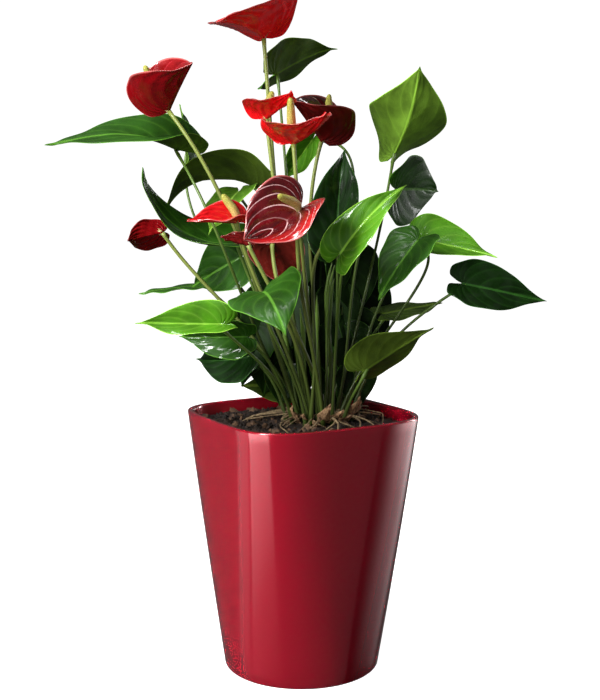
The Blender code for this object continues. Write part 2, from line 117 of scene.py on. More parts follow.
def skin(name, sheets, finishes):
    """A mesh over one or more grids of places (rows, columns, 3).  Each row joins the next one, and a row's
    last column joins its first.  A sheet is (places, finish, maps): finish is the number of its material, or
    one number for each column, and maps holds its UV maps.  Doubled places at poles and seams are merged."""
    places, faces, finish, maps, start = [], [], [], {}, 0
    for grid, numbers, layers in sheets:
        rows, columns = grid.shape[:2]
        here = np.arange(rows * columns).reshape(rows, columns) + start
        faces.append(quads(here, np.roll(here, -1, 1)))
        finish.append(np.broadcast_to(numbers, (rows - 1, columns)).ravel())
        places.append(grid.reshape(-1, 3))
        for layer, values in layers.items():
            maps.setdefault(layer, []).append(values.reshape(-1, 2))
        start += rows * columns
    mesh = new_mesh(name, np.vstack(places), np.vstack(faces))
    mesh.polygons.foreach_set("material_index", np.concatenate(finish).astype(np.int32))
    for layer, values in maps.items():
        map_corners(mesh, layer, np.vstack(values))
    body = bmesh.new()
    body.from_mesh(mesh)
    bmesh.ops.remove_doubles(body, verts=body.verts, dist=MERGE_WITHIN)
    body.to_mesh(mesh)
    body.free()
    mesh.shade_smooth()
    for material in finishes:
        mesh.materials.append(material)
    piece = new_object(name, mesh)
    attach(piece, "root")
    return piece


class Tone:
    """A value in a material: Python's operators on it add the Math nodes."""

    def __init__(self, finish, socket):
        self.finish, self.socket = finish, socket

    def maths(self, operation, *values):
        return self.finish.node("Math", {"operation": operation}, dict(enumerate(values)))

    def __add__(self, other):
        return self.maths("ADD", self, other)

    def __sub__(self, other):
        return self.maths("SUBTRACT", self, other)

    def __mul__(self, other):
        return self.maths("MULTIPLY", self, other)

    def __rsub__(self, other):
        return self.maths("SUBTRACT", other, self)

    def abs(self):
        return self.maths("ABSOLUTE", self)

    def between(self, low, high, to_low=0.0, to_high=1.0):
        """A smooth step from to_low, at low and under it, to to_high, at high and over it."""
        settings = {"interpolation_type": "SMOOTHSTEP"}
        inputs = {"Value": self, "From Min": low, "From Max": high, "To Min": to_low, "To Max": to_high}
        return self.finish.node("MapRange", settings, inputs)

    def part(self, name):
        """Another output of the same node."""
        return Tone(self.finish, self.socket.node.outputs[name])


SOCKETS = {"colour": "Base Color", "roughness": "Roughness", "coat": "Coat Weight", "normal": "Normal",
           "glow": "Emission Color"}


class Finish:
    """A material while it is made.  The shader's constants are given first, by socket name."""

    def __init__(self, name, constants):
        self.material = bpy.data.materials.new(name)
        self.material.use_nodes = True
        self.nodes, self.links = self.material.node_tree.nodes, self.material.node_tree.links
        self.shader = self.nodes["Principled BSDF"]
        for socket, value in constants.items():
            self.shader.inputs[socket].default_value = value

    def node(self, kind, settings=None, inputs=None, output=0):
        made = self.nodes.new("ShaderNode" + kind)
        for key, value in (settings or {}).items():
            if key == "stops":
                ramp = made.color_ramp.elements
                while len(ramp) < len(value):
                    ramp.new(0.5)
                for stop, (place, colour) in zip(ramp, value):
                    stop.position, stop.color = place, (*colour, 1.0)
            else:
                setattr(made, key, value)
        for key, value in (inputs or {}).items():
            if isinstance(value, Tone):
                self.links.new(value.socket, made.inputs[key])
            else:
                made.inputs[key].default_value = value
        return Tone(self, made.outputs[output])

    def place(self):
        return self.node("TexCoord").part("Object")

    def uv(self, layer):
        """A UV map's X; its part("Y") is the other one."""
        layer = self.node("UVMap", {"uv_map": layer})
        return self.node("SeparateXYZ", None, {"Vector": layer})

    def ribs(self, count, sweep):
        """On a blade: the "way" map, the share of the way from midrib to margin, and the distance from the
        nearest rib, which is 0 on it and 0.5 halfway to the next."""
        way = self.uv("way")
        side = (way * 2 - 1).abs()
        label = way.part("Y") * count - side * side * sweep
        return way, side, label.maths("PINGPONG", label, 0.5)

    def cells(self, scale, feature="F1"):
        """Small cells: the distance to the nearest one's middle, or to its edge."""
        inputs = {"Vector": self.place(), "Scale": scale}
        return self.node("TexVoronoi", {"feature": feature}, inputs)

    def noise(self, scale, detail=3.0, roughness=0.5, where=None):
        """Soft noise of a given scale, around 0.5."""
        inputs = {"Vector": where or self.place(), "Scale": scale, "Detail": detail, "Roughness": roughness}
        return self.node("TexNoise", None, inputs)

    def mix(self, factor, first, second):
        """From the first colour to the second by factor."""
        colours = [(*c, 1.0) if isinstance(c, tuple) else c for c in (first, second)]
        inputs = {0: factor, 6: colours[0], 7: colours[1]}
        return self.node("Mix", {"data_type": "RGBA", "clamp_factor": True}, inputs, output=2)

    def set(self, bump=(), **tones):
        """Link what varies over the surface to the shader, and give the material.  bump is a height from 0
        to 1, what that is in metres, and its strength."""
        if bump:
            tones["normal"] = self.node("Bump", None, dict(zip(("Height", "Distance", "Strength"), bump)))
        for key, tone in tones.items():
            self.links.new(tone.socket, self.shader.inputs[SOCKETS[key]])
        return self.material


def lacquer():
    """Deep red lacquer: faint orange peel, and a slightly uneven depth of colour."""
    gloss = {"Metallic": 0.35, "Coat Weight": 1.0, "Coat Roughness": 0.02, "IOR": 1.5}
    finish = Finish("lacquer", gloss)
    patchy = finish.noise(9.0, 2.0)
    deep = finish.mix(patchy.between(0.3, 0.7), LACQUER_RED, scaled(LACQUER_RED, 0.93))
    peel = finish.noise(900.0, 1.0)
    smear = finish.noise(60.0, 4.0, 0.6)
    rough = smear.between(0.3, 0.8, 0.20, 0.21)
    return finish.set(colour=deep, roughness=rough, bump=(peel, 0.00002, 0.25))


# The profile, as (height, inset): under the foot, round its edge, up the wall, over the lip and down inside.
around = np.linspace(0, 2 * math.pi, 160, endpoint=False)
roll = np.radians(np.linspace(0, 90, 6))
wall_heights = POT_LIP + (POT_HEIGHT - 2 * POT_LIP) * np.linspace(0, 1, 26)
lip_middle = POT_HEIGHT - POT_LIP
profile = [(0.0, 0.030), (0.0, 0.0165), (0.0004, 0.0150), (0.0004, 0.0060)]
profile += [(POT_LIP * (1 - math.cos(a)), POT_LIP * (1 - math.sin(a))) for a in roll]
profile += [(z, 0.0) for z in wall_heights]
profile += [(lip_middle + POT_LIP * math.sin(a), POT_LIP * (1 - math.cos(a))) for a in roll[1:]]
profile += [(lip_middle + POT_LIP * math.cos(a), POT_WALL - POT_LIP + POT_LIP * math.sin(a)) for a in roll]
profile += [(z, POT_WALL) for z in np.linspace(POT_HEIGHT - 2 * POT_LIP, POT_FLOOR, 16)]
rings = [planter_ring(z, inset, around) for z, inset in profile]
rings = [rings[0] * (0, 0, 1)] + rings + [rings[-1] * (0, 0, 1)]
planter = skin("planter", [(np.array(rings), 0, {})], [lacquer()])
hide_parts("pot")

# ---------------------------------------------------------------- potting soil
# Dark moist potting mix up to a finger's breadth below the rim: a lumpy top with clods, crumbs and chips of
# bark lying on it.  The sheet of soil goes down the wall and closes underneath.
SOIL_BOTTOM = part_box("soil")[0][2]
SOIL_TOP = 0.1715
SOIL_GAP = 0.0004          # between the soil and the planter's wall
chance = np.random.default_rng(12)


def lumps(x, y, count, size, height, reach):
    """The highest of many round humps: height * (1 - (distance / size)^2), for humps strewn over reach."""
    centre = chance.uniform(-reach, reach, (count, 2))
    wide = size * chance.uniform(0.5, 1.3, count)
    away = (x[..., None] - centre[:, 0]) ** 2 + (y[..., None] - centre[:, 1]) ** 2
    return height * np.clip(1 - away / wide**2, 0, None).max(-1)


def soil_finish():
    finish = Finish("potting_soil", {"Roughness": 0.9, "Specular IOR Level": 0.3})
    clods = finish.noise(160.0, 6.0, 0.65)
    grit = finish.cells(700.0)
    colour = finish.mix(clods.between(0.35, 0.72), (0.005, 0.003, 0.002), (0.028, 0.016, 0.010))
    colour = finish.mix(grit.between(0.0, 0.16, 0.55, 0.0), colour, (0.09, 0.058, 0.034))
    rough = clods.between(0.3, 0.7, 0.62, 0.95)
    return finish.set(colour=colour, roughness=rough, bump=(clods + grit * 0.4, 0.0012, 0.8))


ring_share = np.linspace(0, 1, 70) ** 0.75
around_soil = np.linspace(0, 2 * math.pi, 200, endpoint=False)
edge = planter_ring(SOIL_TOP, POT_WALL + SOIL_GAP, around_soil)
top = ring_share[:, None, None] * edge[None]
flat_edge = np.clip((1 - ring_share) / 0.06, 0, 1)[:, None]
x, y = top[..., 0], top[..., 1]
height = lumps(x, y, 260, 0.008, 0.0022, 0.07) + lumps(x, y, 900, 0.0032, 0.0013, 0.07)
height += 0.0012 * np.exp(-((x - 0.013) ** 2 + y**2) / 0.0006)
top[..., 2] = SOIL_TOP - 0.0017 + height * flat_edge
SOIL_SIDES = (0.168, 0.15, 0.12, 0.08, 0.04, SOIL_BOTTOM)       # heights of the rings down the wall
skirt = [planter_ring(z, POT_WALL + SOIL_GAP, around_soil) for z in SOIL_SIDES]
under = skirt[-1] * (0, 0, 1)
soil_rings = np.concatenate([top, np.array(skirt), under[None]])
potting_soil = soil_finish()
soil = skin("soil_bed", [(soil_rings[::-1], 0, {})], [potting_soil])
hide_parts("soil")


CRUMB_REACH = 0.062        # half the square that crumbs are strewn over
CRUMB_EDGE = 0.0655        # crumbs past this superellipse, near the planter's wall, are left out
CRUMB_POWER = 3.6


def crumb_mesh(name, count, size, squash, finish):
    """Angular crumbs: icosahedra with their corners pushed in or out, stretched, turned and strewn."""
    golden = (1 + 5**0.5) / 2
    corners = np.array([(0, a, b * golden) for a in (-1, 1) for b in (-1, 1)], float)
    corners = np.vstack([corners, corners[:, [1, 2, 0]], corners[:, [2, 0, 1]]]) / math.hypot(1, golden)
    shell = bmesh.new()
    points = [shell.verts.new(c) for c in corners]
    bmesh.ops.convex_hull(shell, input=points)
    faces = np.array([[v.index for v in f.verts] for f in shell.faces])
    shell.verts.ensure_lookup_table()
    corners = np.array([v.co for v in shell.verts])
    shell.free()
    where = chance.uniform(-CRUMB_REACH, CRUMB_REACH, (count, 2))
    turn = np.linalg.qr(chance.normal(size=(count, 3, 3)))[0]
    scale = size * chance.uniform(0.4, 1.0, (count, 1, 1))
    scale = scale * (1 + squash * chance.uniform(-1, 1, (count, 1, 3)))
    ragged = corners[None] * chance.uniform(0.65, 1.2, (count, 12, 1)) * scale
    ragged = np.einsum("nij,nkj->nki", turn, ragged)
    ground = SOIL_TOP + 0.0006 + chance.uniform(-0.0006, 0.0006, count)
    places = ragged + np.concatenate([where, ground[:, None]], 1)[:, None]
    inside = np.abs(places).max(1)
    keep = (inside[:, 0] ** CRUMB_POWER + inside[:, 1] ** CRUMB_POWER) ** (1 / CRUMB_POWER) < CRUMB_EDGE
    places = places[keep]
    faces = faces[None] + 12 * np.arange(len(places))[:, None, None]
    mesh = new_mesh(name, places, faces)
    mesh.materials.append(finish)
    piece = new_object(name, mesh)
    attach(piece, "root")


def bark_finish():
    finish = Finish("bark_chips", {"Specular IOR Level": 0.3})
    grain = finish.noise(420.0, 4.0, 0.6)
    patch = finish.noise(70.0, 2.0)
    colour = finish.mix(grain, (0.05, 0.024, 0.012), (0.15, 0.085, 0.045))
    colour = finish.mix(patch.between(0.45, 0.6), colour, (0.022, 0.012, 0.008))
    rough = grain.between(0.3, 0.7, 0.7, 0.95)
    return finish.set(colour=colour, roughness=rough, bump=(grain, 0.0006))


crumb_mesh("soil_crumbs", 1500, 0.0016, 0.4, potting_soil)
crumb_mesh("bark_chips", 190, 0.0036, 0.75, bark_finish())

# ---------------------------------------------------------------- leaves
# Heart-shaped leathery leaves, glossy above and paler and dull underneath, with sunken veins that quilt the
# blade between them.  Each grows on a slim round petiole with a sheath at its foot and a knuckle at its top.
# Places are in centimetres, as seen from the plant's show side: x right, y away and z up.
CROWN = (1.2, 0.6)         # the middle of the crown
CROWN_INNER = 0.7          # how far from it a steep stalk leaves the soil
CROWN_SPREAD = 1.7         # and how much further a flat one does
FOOT_LIFT = 0.28           # a stalk's foot, above SOIL_TOP
STALK_POINTS = 48
STALK_RISE = 0.4           # how far a stalk keeps to its first direction, as a share of its length
PETIOLE = 0.0010
PETIOLE_RUN = 0.0022       # how far a petiole's end runs along the midrib
LEAF_THICK = 0.0006

# A row of the tables: a blade's shade, its joint and its tip, the way its upper side faces, its width for its
# length, and its bends in degrees.  fold lifts both halves from the midrib, gather folds the base more, cup
# curls the margins up, droop bows the blade back, curl lifts its tip, twist turns the tip end, sweep bows it
# sideways and lobe lifts the two lobes.  Of its stalk, foot is where it leaves the soil, lean is how far it
# leans there, arrive is the way it comes in and reach is how long it keeps to that.


def plan(shade, at, tip, faces, **rest):
    return dict(shade=shade, at=at, tip=tip, faces=faces, **rest)


# Half an outline, as (across, along), from the notch round the lobe to the tip at (0, 1).
LEAF_MARGIN = [(0.04, -0.10), (0.12, -0.175), (0.25, -0.16), (0.355, -0.04), (0.39, 0.12),
               (0.355, 0.33), (0.25, 0.56), (0.115, 0.76), (0.03, 0.91), (0.0, 1.0)]
LEAVES = {
    "top": plan(
        "mid", (-1.9, 5.0, 41.6), (2.7, 7.5, 43.7), (-0.1, 0.55, 0.75), width=1.1, fold=10, droop=15,
        curl=-20, arrive=(-0.1, 0.2, 1.0)
    ),
    "far_left": plan(
        "mid", (-8.5, 1.2, 36.1), (-16.8, -3.2, 36.2), (0.0, -0.45, 0.9), width=0.62, fold=5, gather=60,
        droop=60, curl=30, twist=-10, foot=(-1.6, -0.2), lean=0.5, arrive=(-0.5, 0.9, 0.7), reach=0.45
    ),
    "left_edge_on": plan(
        "mid", (-8.6, 8.1, 35.9), (-9.2, 9.1, 39.9), (1.0, -0.3, 0.0), droop=10, foot=(0.1, 2.4), lean=0.4
    ),
    "left_arch": plan(
        "olive", (-3.2, 4.7, 33.6), (-10.0, 4.2, 31.1), (-0.4, 0.3, 0.85), width=1.25, gather=0, droop=110,
        sweep=-15
    ),
    "left_bowl": plan(
        "mid", (-4.4, 1.5, 29.6), (-11.1, 2.0, 35.0), (0.6, -0.3, 0.75), width=0.85, fold=5, gather=0, cup=20,
        droop=-95
    ),
    "left_dark": plan("mid", (-4.3, 4.4, 28.6), (-8.2, 6.4, 26.2), (0.2, -0.9, 0.4), width=1.15, gather=0),
    "right_tall": plan(
        "pale", (6.5, 3.0, 35.8), (7.8, -1.9, 41.4), (0.1, 1.0, 0.3), width=1.15, fold=14, gather=55,
        droop=15, curl=-10, sweep=20, foot=(1.2, 0.8)
    ),
    "centre_dark": plan(
        "dark", (2.5, 1.9, 29.6), (3.2, 6.3, 36.4), (-0.3, -0.9, 0.4), width=0.7, fold=35, gather=0, curl=-15,
        twist=25
    ),
    "right_back": plan(
        "mid", (6.5, 1.0, 33.4), (10.0, 5.5, 33.3), (-0.1, -1.0, -0.1), width=1.15, fold=5, cup=5, droop=10,
        sweep=10
    ),
    "front_bright": plan(
        "bright", (2.6, -5.0, 29.3), (6.8, -4.5, 33.6), (-0.6, -0.85, 0.15), width=0.68, gather=5, cup=5,
        droop=45, lobe=-50, foot=(0.9, -1.7), arrive=(0.1, -0.5, 1.0)
    ),
    "right_bright": plan(
        "bright", (8.2, 1.0, 29.9), (13.2, -1.8, 28.8), (0.0, -0.6, 0.8), gather=35, cup=-10, droop=5,
        foot=(1.9, 0.5)
    ),
    "right_hanging": plan(
        "mid", (7.8, -1.5, 29.9), (5.1, -3.0, 26.0), (-0.65, -0.7, 0.3), width=1.1, fold=10, gather=5,
        droop=15, lobe=-50
    ),
    "far_right": plan(
        "dark", (11.0, -1.0, 27.0), (16.8, -1.0, 25.8), (-0.3, -0.9, 0.4), width=0.8, gather=20, droop=10,
        curl=10, twist=15
    ),
    "right_flat": plan(
        "olive", (6.1, 4.0, 24.5), (10.5, 6.0, 25.1), (0.1, -0.3, 0.9), width=0.75, fold=0, gather=0, droop=0
    ),
    "right_low": plan("olive", (4.3, -2.0, 21.2), (9.0, -1.8, 24.1), (-0.3, 0.75, 0.5), width=0.95, droop=5),
    "left_bright": plan(
        "bright", (-5.2, -5.0, 24.6), (-10.7, -6.0, 24.8), (0.0, -0.8, 0.6), width=0.75, fold=25, gather=25,
        droop=0
    ),
    "left_glossy": plan(
        "mid", (-3.8, -2.0, 23.5), (-8.4, -1.0, 23.4), (-0.1, -1.0, 0.0), width=1.0, fold=40, twist=-15
    ),
    "left_low": plan(
        "dark", (-3.6, 1.0, 21.8), (-7.7, 4.0, 21.2), (-0.2, -1.0, 0.0), width=1.1, fold=40, droop=15,
        twist=-15, sweep=15
    ),
    "left_thin": plan(
        "mid", (-7.1, 8.0, 26.3), (-12.4, 8.1, 25.6), (-0.1, -0.1, 1.0), width=0.8, fold=0, gather=0, droop=5,
        sweep=-10, foot=(-1.4, 2.2)
    ),
    "front_heart": plan(
        "mid", (-2.4, -6.2, 26.8), (-0.9, -9.9, 24.4), (-0.3, -0.35, 0.9), width=1.3, fold=5, droop=65,
        sweep=20, foot=(-0.9, -2.2)
    ),
    "low_olive": plan(
        "olive", (-0.8, 4.4, 19.2), (-4.5, 4.0, 19.2), (0.0, -0.95, 0.25), width=0.95, fold=5, gather=0,
        droop=10, foot=(-0.8, 3.8), lean=0.2
    ),
    "left_pale": plan(
        "pale", (-4.5, 3.0, 33.2), (-6.3, -1.0, 30.3), (-0.5, -0.9, 0.0), fold=5, gather=0, cup=15, curl=10
    ),
    "centre_pale": plan(
        "bright", (0.8, 6.7, 37.1), (-1.3, 8.2, 34.2), (0.5, -0.5, 0.7), fold=35, gather=15, droop=40
    ),
    "centre_hanging": plan("dark", (2.6, 5.2, 29.5), (3.4, 4.6, 23.5), (0.2, -1.0, 0.4), foot=(0.2, 2.0)),
    "back_high": plan(
        "dark", (0.2, 8.6, 27.0), (0.4, 9.8, 20.2), (0.0, -0.9, 0.3), width=1.2, droop=15, foot=(0.5, 3.7)
    ),
    "back_right": plan(
        "dark", (3.9, 7.0, 26.0), (5.8, 8.6, 19.8), (0.2, -0.9, 0.4), width=1.0, droop=15, foot=(0.7, 2.4)
    ),
    "back_left": plan(
        "dark", (-1.4, 6.4, 24.8), (-3.2, 8.4, 19.6), (-0.2, -0.9, 0.4), width=1.05, droop=15,
        foot=(-0.5, 3.4)
    ),
}


def unit(vectors):
    """Each vector made 1 long."""
    vectors = np.asarray(vectors, float)
    return vectors / np.linalg.norm(vectors, axis=-1, keepdims=True)


def through(points, share):
    """Places along a smooth curve through the points, at shares 0 to 1 of the way."""
    p = np.array(points, float)
    p = np.vstack([2 * p[0] - p[1], p, 2 * p[-1] - p[-2]])
    last = len(points) - 1
    k = np.clip((share * last).astype(int), 0, last - 1)
    f = (share * last - k)[:, None]
    a, b, c, d = p[k], p[k + 1], p[k + 2], p[k + 3]
    return 0.5 * (2 * b + (c - a) * f + (2 * a - 5 * b + 4 * c - d) * f**2 + (3 * b - a - 3 * c + d) * f**3)


FAN = 0.42                 # the share of the outline that the joint fans out to, before the midrib starts


def flat_blade(share, side, margin, width):
    """Places on the flat blade of length 1: share runs round the outline, side from -1 to 1 across it."""
    edge = through(margin, share)
    midrib = np.clip((share - FAN) / (1 - FAN), 0, 1) ** 1.15
    return side * edge[:, 0] * width, midrib + np.abs(side) * (edge[:, 1] - midrib)


def heading(turn, fall):
    """The way along a blade that has turned sideways and fallen by these angles."""
    return np.stack([np.sin(turn) * np.cos(fall), np.cos(turn) * np.cos(fall), -np.sin(fall)], 1)


def bend(x, y, fold=15, gather=10, cup=0, droop=20, curl=0, twist=0, sweep=0, lobe=0):
    """The flat blade bent in space: x to its right, y along it, z up from its upper side."""
    t = np.linspace(-0.4, 1.05, 96)
    end = np.clip((t - 0.55) / 0.45, 0, 1)
    back = np.clip(-t, 0, 1) / 0.25
    fall = math.radians(droop) * np.clip(t, 0, 2) ** 1.2
    fall += math.radians(lobe) * back - math.radians(curl) * end**2
    turn = math.radians(sweep) * np.clip(t, 0, 2)
    step = heading(turn, fall)
    spine = np.vstack([[0, 0, 0], np.cumsum((step[1:] + step[:-1]) / 2, 0) * (t[1] - t[0])])
    spine = spine - [np.interp(0, t, spine[:, k]) for k in range(3)]
    centre = np.stack([np.interp(y, t, spine[:, k]) for k in range(3)], 1)
    fall, turn = np.interp(y, t, fall), np.interp(y, t, turn)
    along = heading(turn, fall)
    right = np.stack([np.cos(turn), -np.sin(turn), 0 * turn], 1)
    up = np.cross(right, along)
    spin = (math.radians(twist) * np.clip(y, 0, 1))[:, None]
    right, up = right * np.cos(spin) - up * np.sin(spin), up * np.cos(spin) + right * np.sin(spin)
    near_base = np.clip((0.55 - y) / 0.75, 0, 1)
    lean = np.radians(fold + gather * near_base**2 * (3 - 2 * near_base))
    curve = math.radians(cup) / 0.4 + 1e-6
    far = np.abs(x)
    across = (np.sin(lean + curve * far) - np.sin(lean)) / curve
    rise = (np.cos(lean) - np.cos(lean + curve * far)) / curve
    return centre + right * (np.sign(x) * across)[:, None] + up * rise[:, None]


BENDS = ("fold", "gather", "cup", "droop", "curl", "twist", "sweep", "lobe")


class Blade:
    """A heart-shaped blade from a row of the tables, bent and placed so that its joint and its tip are where
    the row says."""

    def __init__(self, row, margin, width):
        self.margin, self.width = margin, row.get("width", width)
        self.wave = chance.uniform((0, 9, 0, 20), (6, 14, 6, 30))
        self.bends = {name: row[name] for name in BENDS if name in row}
        self.joint = np.array(row["at"]) / 100
        chord = np.array(row["tip"]) / 100 - self.joint
        tip = bend(np.zeros(1), np.ones(1), **self.bends)[0]
        own_along = unit(tip)
        own_right = unit(np.array([1, 0, 0]) - own_along[0] * own_along)
        own_up = np.cross(own_right, own_along)
        self.along = unit(chord)
        faces = np.array(row["faces"], float)
        self.up = unit(faces - (faces @ self.along) * self.along)
        right = np.cross(self.along, self.up)
        turn = np.outer(right, own_right) + np.outer(self.along, own_along) + np.outer(self.up, own_up)
        self.length = np.linalg.norm(chord) / np.linalg.norm(tip)
        self.turn = turn * self.length

    def put(self, x, y):
        """Places in space of places on the flat blade of length 1."""
        return bend(x, y, **self.bends) @ self.turn.T + self.joint

    def sheet(self, rounds, across, thickness, relief, keel, ruffle):
        """The blade as a thin closed loft.  Each ring crosses the upper side from the left margin to the
        right one and comes back underneath.  The sheet is lifted along its normals by relief(share, side),
        is thicker under the midrib by keel, and its margin waves by ruffle."""
        share = np.linspace(0, 1, rounds + 1)
        over = np.sin(np.linspace(-1, 1, across + 1) * math.pi / 2)
        side = np.concatenate([over, over[-2:0:-1]])
        lower = np.concatenate([np.zeros(across + 1), np.ones(across - 1)])
        share, side = np.meshgrid(share, side, indexing="ij")
        x, y = flat_blade(share.ravel(), side.ravel(), self.margin, self.width)
        step = 0.002
        wide = self.put(x + step, y) - self.put(x - step, y)
        long = self.put(x, y + step) - self.put(x, y - step)
        normal = unit(np.cross(wide, long))
        edge = np.clip((1 - np.abs(side)) / 0.06, 0, 1) ** 0.5
        ends = np.clip(np.minimum(share / 0.01, (1 - share) / 0.02), 0, 1) ** 0.5
        half = thickness / 2 * edge * ends
        rib = keel * np.exp(-((x * self.length / 0.0011) ** 2)) * np.clip(1.02 - y, 0, 1)
        rib = rib.reshape(share.shape) * ends * (y.reshape(share.shape) > -0.01)
        waves = ruffle * side**4 * np.sin(self.wave[0] + share * self.wave[1]) * np.sign(side + 1e-9)
        waves += ruffle * side**4 * np.sin(self.wave[2] + share * self.wave[3])
        lift = relief(share, side) * ends + waves * np.clip((1 - share) / 0.15, 0, 1)
        lift += np.where(lower > 0, -half - rib, half)
        places = self.put(x, y) + normal * lift.reshape(-1, 1)
        places = places.reshape(*share.shape, 3)
        way = np.stack([side * 0.5 + 0.5, share], -1)
        flat = np.stack([x, y], -1).reshape(*share.shape, 2) * self.length * 10 + 1
        finish = np.concatenate([np.zeros(across), np.ones(across)]).astype(int)
        return places, finish, {"way": way, "flat": flat}


def foot_of(row):
    """Where a stalk leaves the soil: towards its blade, further out the flatter it has to reach."""
    crown = np.array([*CROWN, SOIL_TOP * 100]) / 100
    if "foot" in row:
        return crown + np.array([*row["foot"], FOOT_LIFT]) / 100
    out = np.array(row["at"]) / 100 - crown
    reach = math.hypot(out[0], out[1])
    flatness = min(1, reach / max(out[2], 0.01) / 1.1)
    radius = (CROWN_INNER + CROWN_SPREAD * flatness) / 100
    return crown + np.array([out[0] / reach * radius, out[1] / reach * radius, FOOT_LIFT / 100])


def bezier(start, leave, arrive, end, count):
    t = np.linspace(0, 1, count)[:, None]
    return (1 - t) ** 3 * start + 3 * (1 - t) ** 2 * t * leave + 3 * (1 - t) * t**2 * arrive + t**3 * end


def stalk_line(row, end, arrive, count):
    """A curve from the soil up to end: it leaves leaning outwards and comes in along arrive."""
    foot = foot_of(row)
    span = np.linalg.norm(end - foot)
    out = unit((end - foot) * (1, 1, 0))
    leave = unit(np.array([0, 0, 1]) + row.get("lean", 0.25) * out)
    arrive = unit(row.get("arrive", arrive))
    reach = row.get("reach", 0.35)
    line = bezier(foot, foot + leave * span * STALK_RISE, end - arrive * span * reach, end, count)
    line[0, 2] = min(line[0, 2], SOIL_TOP - 0.002)
    return line


def tube(line, radii, around, finish, bumps=None):
    """A round tube along a line, with a radius at each of its points and closed ends.  Its UV map holds the
    turn round it and the share of its length; bumps(turn, share) scales the radius."""
    ends = np.vstack([line[:1], line, line[-1:]])
    radii = np.concatenate([[0], radii, [0]])
    forward = unit(np.gradient(line, axis=0))
    least = np.eye(3)[np.abs(forward).max(0).argmin()]
    across = unit(np.cross(least, forward))
    upward = np.cross(forward, across)
    across, upward = (np.vstack([v[:1], v, v[-1:]]) for v in (across, upward))
    turn, share = np.meshgrid(np.arange(around) / around, np.linspace(0, 1, len(ends)), indexing="xy")
    wide = radii[:, None] * (bumps(turn, share) if bumps else 1)
    angle = 2 * math.pi * turn
    grid = ends[:, None] + (wide * np.cos(angle))[..., None] * across[:, None]
    grid += (wide * np.sin(angle))[..., None] * upward[:, None]
    maps = {"way": np.stack([turn, share], -1), "flat": np.stack([turn * 0.1, share], -1)}
    return grid, finish, maps


def in_planter(sheets):
    return [(turned(grid), finish, maps) for grid, finish, maps in sheets]


LEAF_VEINS = 9.0
LEAF_VEIN_SWEEP = 1.5


def leaf_relief(share, side):
    """The upper side swells by 0.4 mm between sunken veins, which leave the midrib and sweep forwards."""
    vein = np.abs(np.sin(math.pi * (share * LEAF_VEINS - LEAF_VEIN_SWEEP * side**2)))
    across = np.clip(np.abs(side) / 0.12, 0, 1) * np.clip((1 - np.abs(side)) / 0.12, 0, 1)
    return 0.0004 * vein**0.6 * across


# The upper side's colour, its veins' colour, and the underside's colour.
# Tones partly the leaves' own; "dark" adds painted shade, "bright" and "pale" painted light.
LEAF_COLOURS = {
    "bright": ((0.080, 0.270, 0.008), (0.24, 0.48, 0.05), (0.16, 0.28, 0.030)),
    "mid": ((0.022, 0.092, 0.005), (0.08, 0.22, 0.02), (0.070, 0.140, 0.012)),
    "dark": ((0.005, 0.024, 0.002), (0.02, 0.08, 0.01), (0.035, 0.08, 0.008)),
    "olive": ((0.045, 0.090, 0.008), (0.11, 0.17, 0.02), (0.075, 0.125, 0.012)),
    "pale": ((0.090, 0.230, 0.015), (0.24, 0.42, 0.06), (0.17, 0.33, 0.030)),
}


def leaf_finish(name, base, vein, gloss, depth):
    """Leaf skin: pale veins that follow the blade, a fine net between them, and mottled depth of colour."""
    finish = Finish(name, {"Coat Roughness": 0.05, "IOR": 1.45, "Specular IOR Level": 0.16})
    way, side, ridge = finish.ribs(LEAF_VEINS, LEAF_VEIN_SWEEP)
    wax = finish.noise(120.0, 3.0, 0.6).between(0.42, 0.60, 0.1 * gloss, gloss)
    line = ridge.between(0.015, 0.055, 1.0, 0.0)
    midrib = (finish.uv("flat") - 1.0).abs().between(0.004, 0.014, 1.0, 0.0)
    rim = side.between(0.965, 0.99)
    mottle = finish.noise(45.0, 4.0, 0.55)
    net = finish.cells(900.0, "DISTANCE_TO_EDGE")
    colour = finish.mix(mottle.between(0.3, 0.7), scaled(base, 0.45), base)
    colour = finish.mix(ridge.between(0.03, 0.25, 0.10, 0.0), colour, vein)
    colour = finish.mix(line * 0.15, colour, vein)
    colour = finish.mix(midrib * 0.6, colour, scaled(vein, 1.5))
    # Painted highlight along the margin, where the thin edge catches the light.
    colour = finish.mix(rim * 0.7, colour, scaled(vein, 1.9))
    rough = mottle.between(0.25, 0.75, depth - 0.05, depth + 0.10)
    net_height = net.between(0.0, 0.25)
    return finish.set(colour=colour, roughness=rough, coat=wax, bump=(net_height, 0.00012, 0.5))


def stalk_finish(name, low, high, shine):
    """A smooth stalk whose colour turns from low at the soil to high at its top, with faint long streaks."""
    finish = Finish(name, {"Coat Weight": 0.2, "Coat Roughness": 0.2, "IOR": 1.45})
    way = finish.node("UVMap", {"uv_map": "way"})
    stretched = finish.node("VectorMath", {"operation": "MULTIPLY"}, {0: way, 1: (9.0, 2.0, 1.0)})
    streak = finish.noise(4.0, 3.0, 0.6, stretched)
    # The darkening towards the soil is painted shade, for the crowded crown.
    colour = finish.mix(finish.uv("way").part("Y").between(0.2, 0.95), low, high)
    colour = finish.mix(streak.between(0.35, 0.75, 0.0, 0.45), colour, scaled(low, 0.5))
    return finish.set(colour=colour, roughness=streak.between(0.3, 0.7, shine, shine + 0.15))


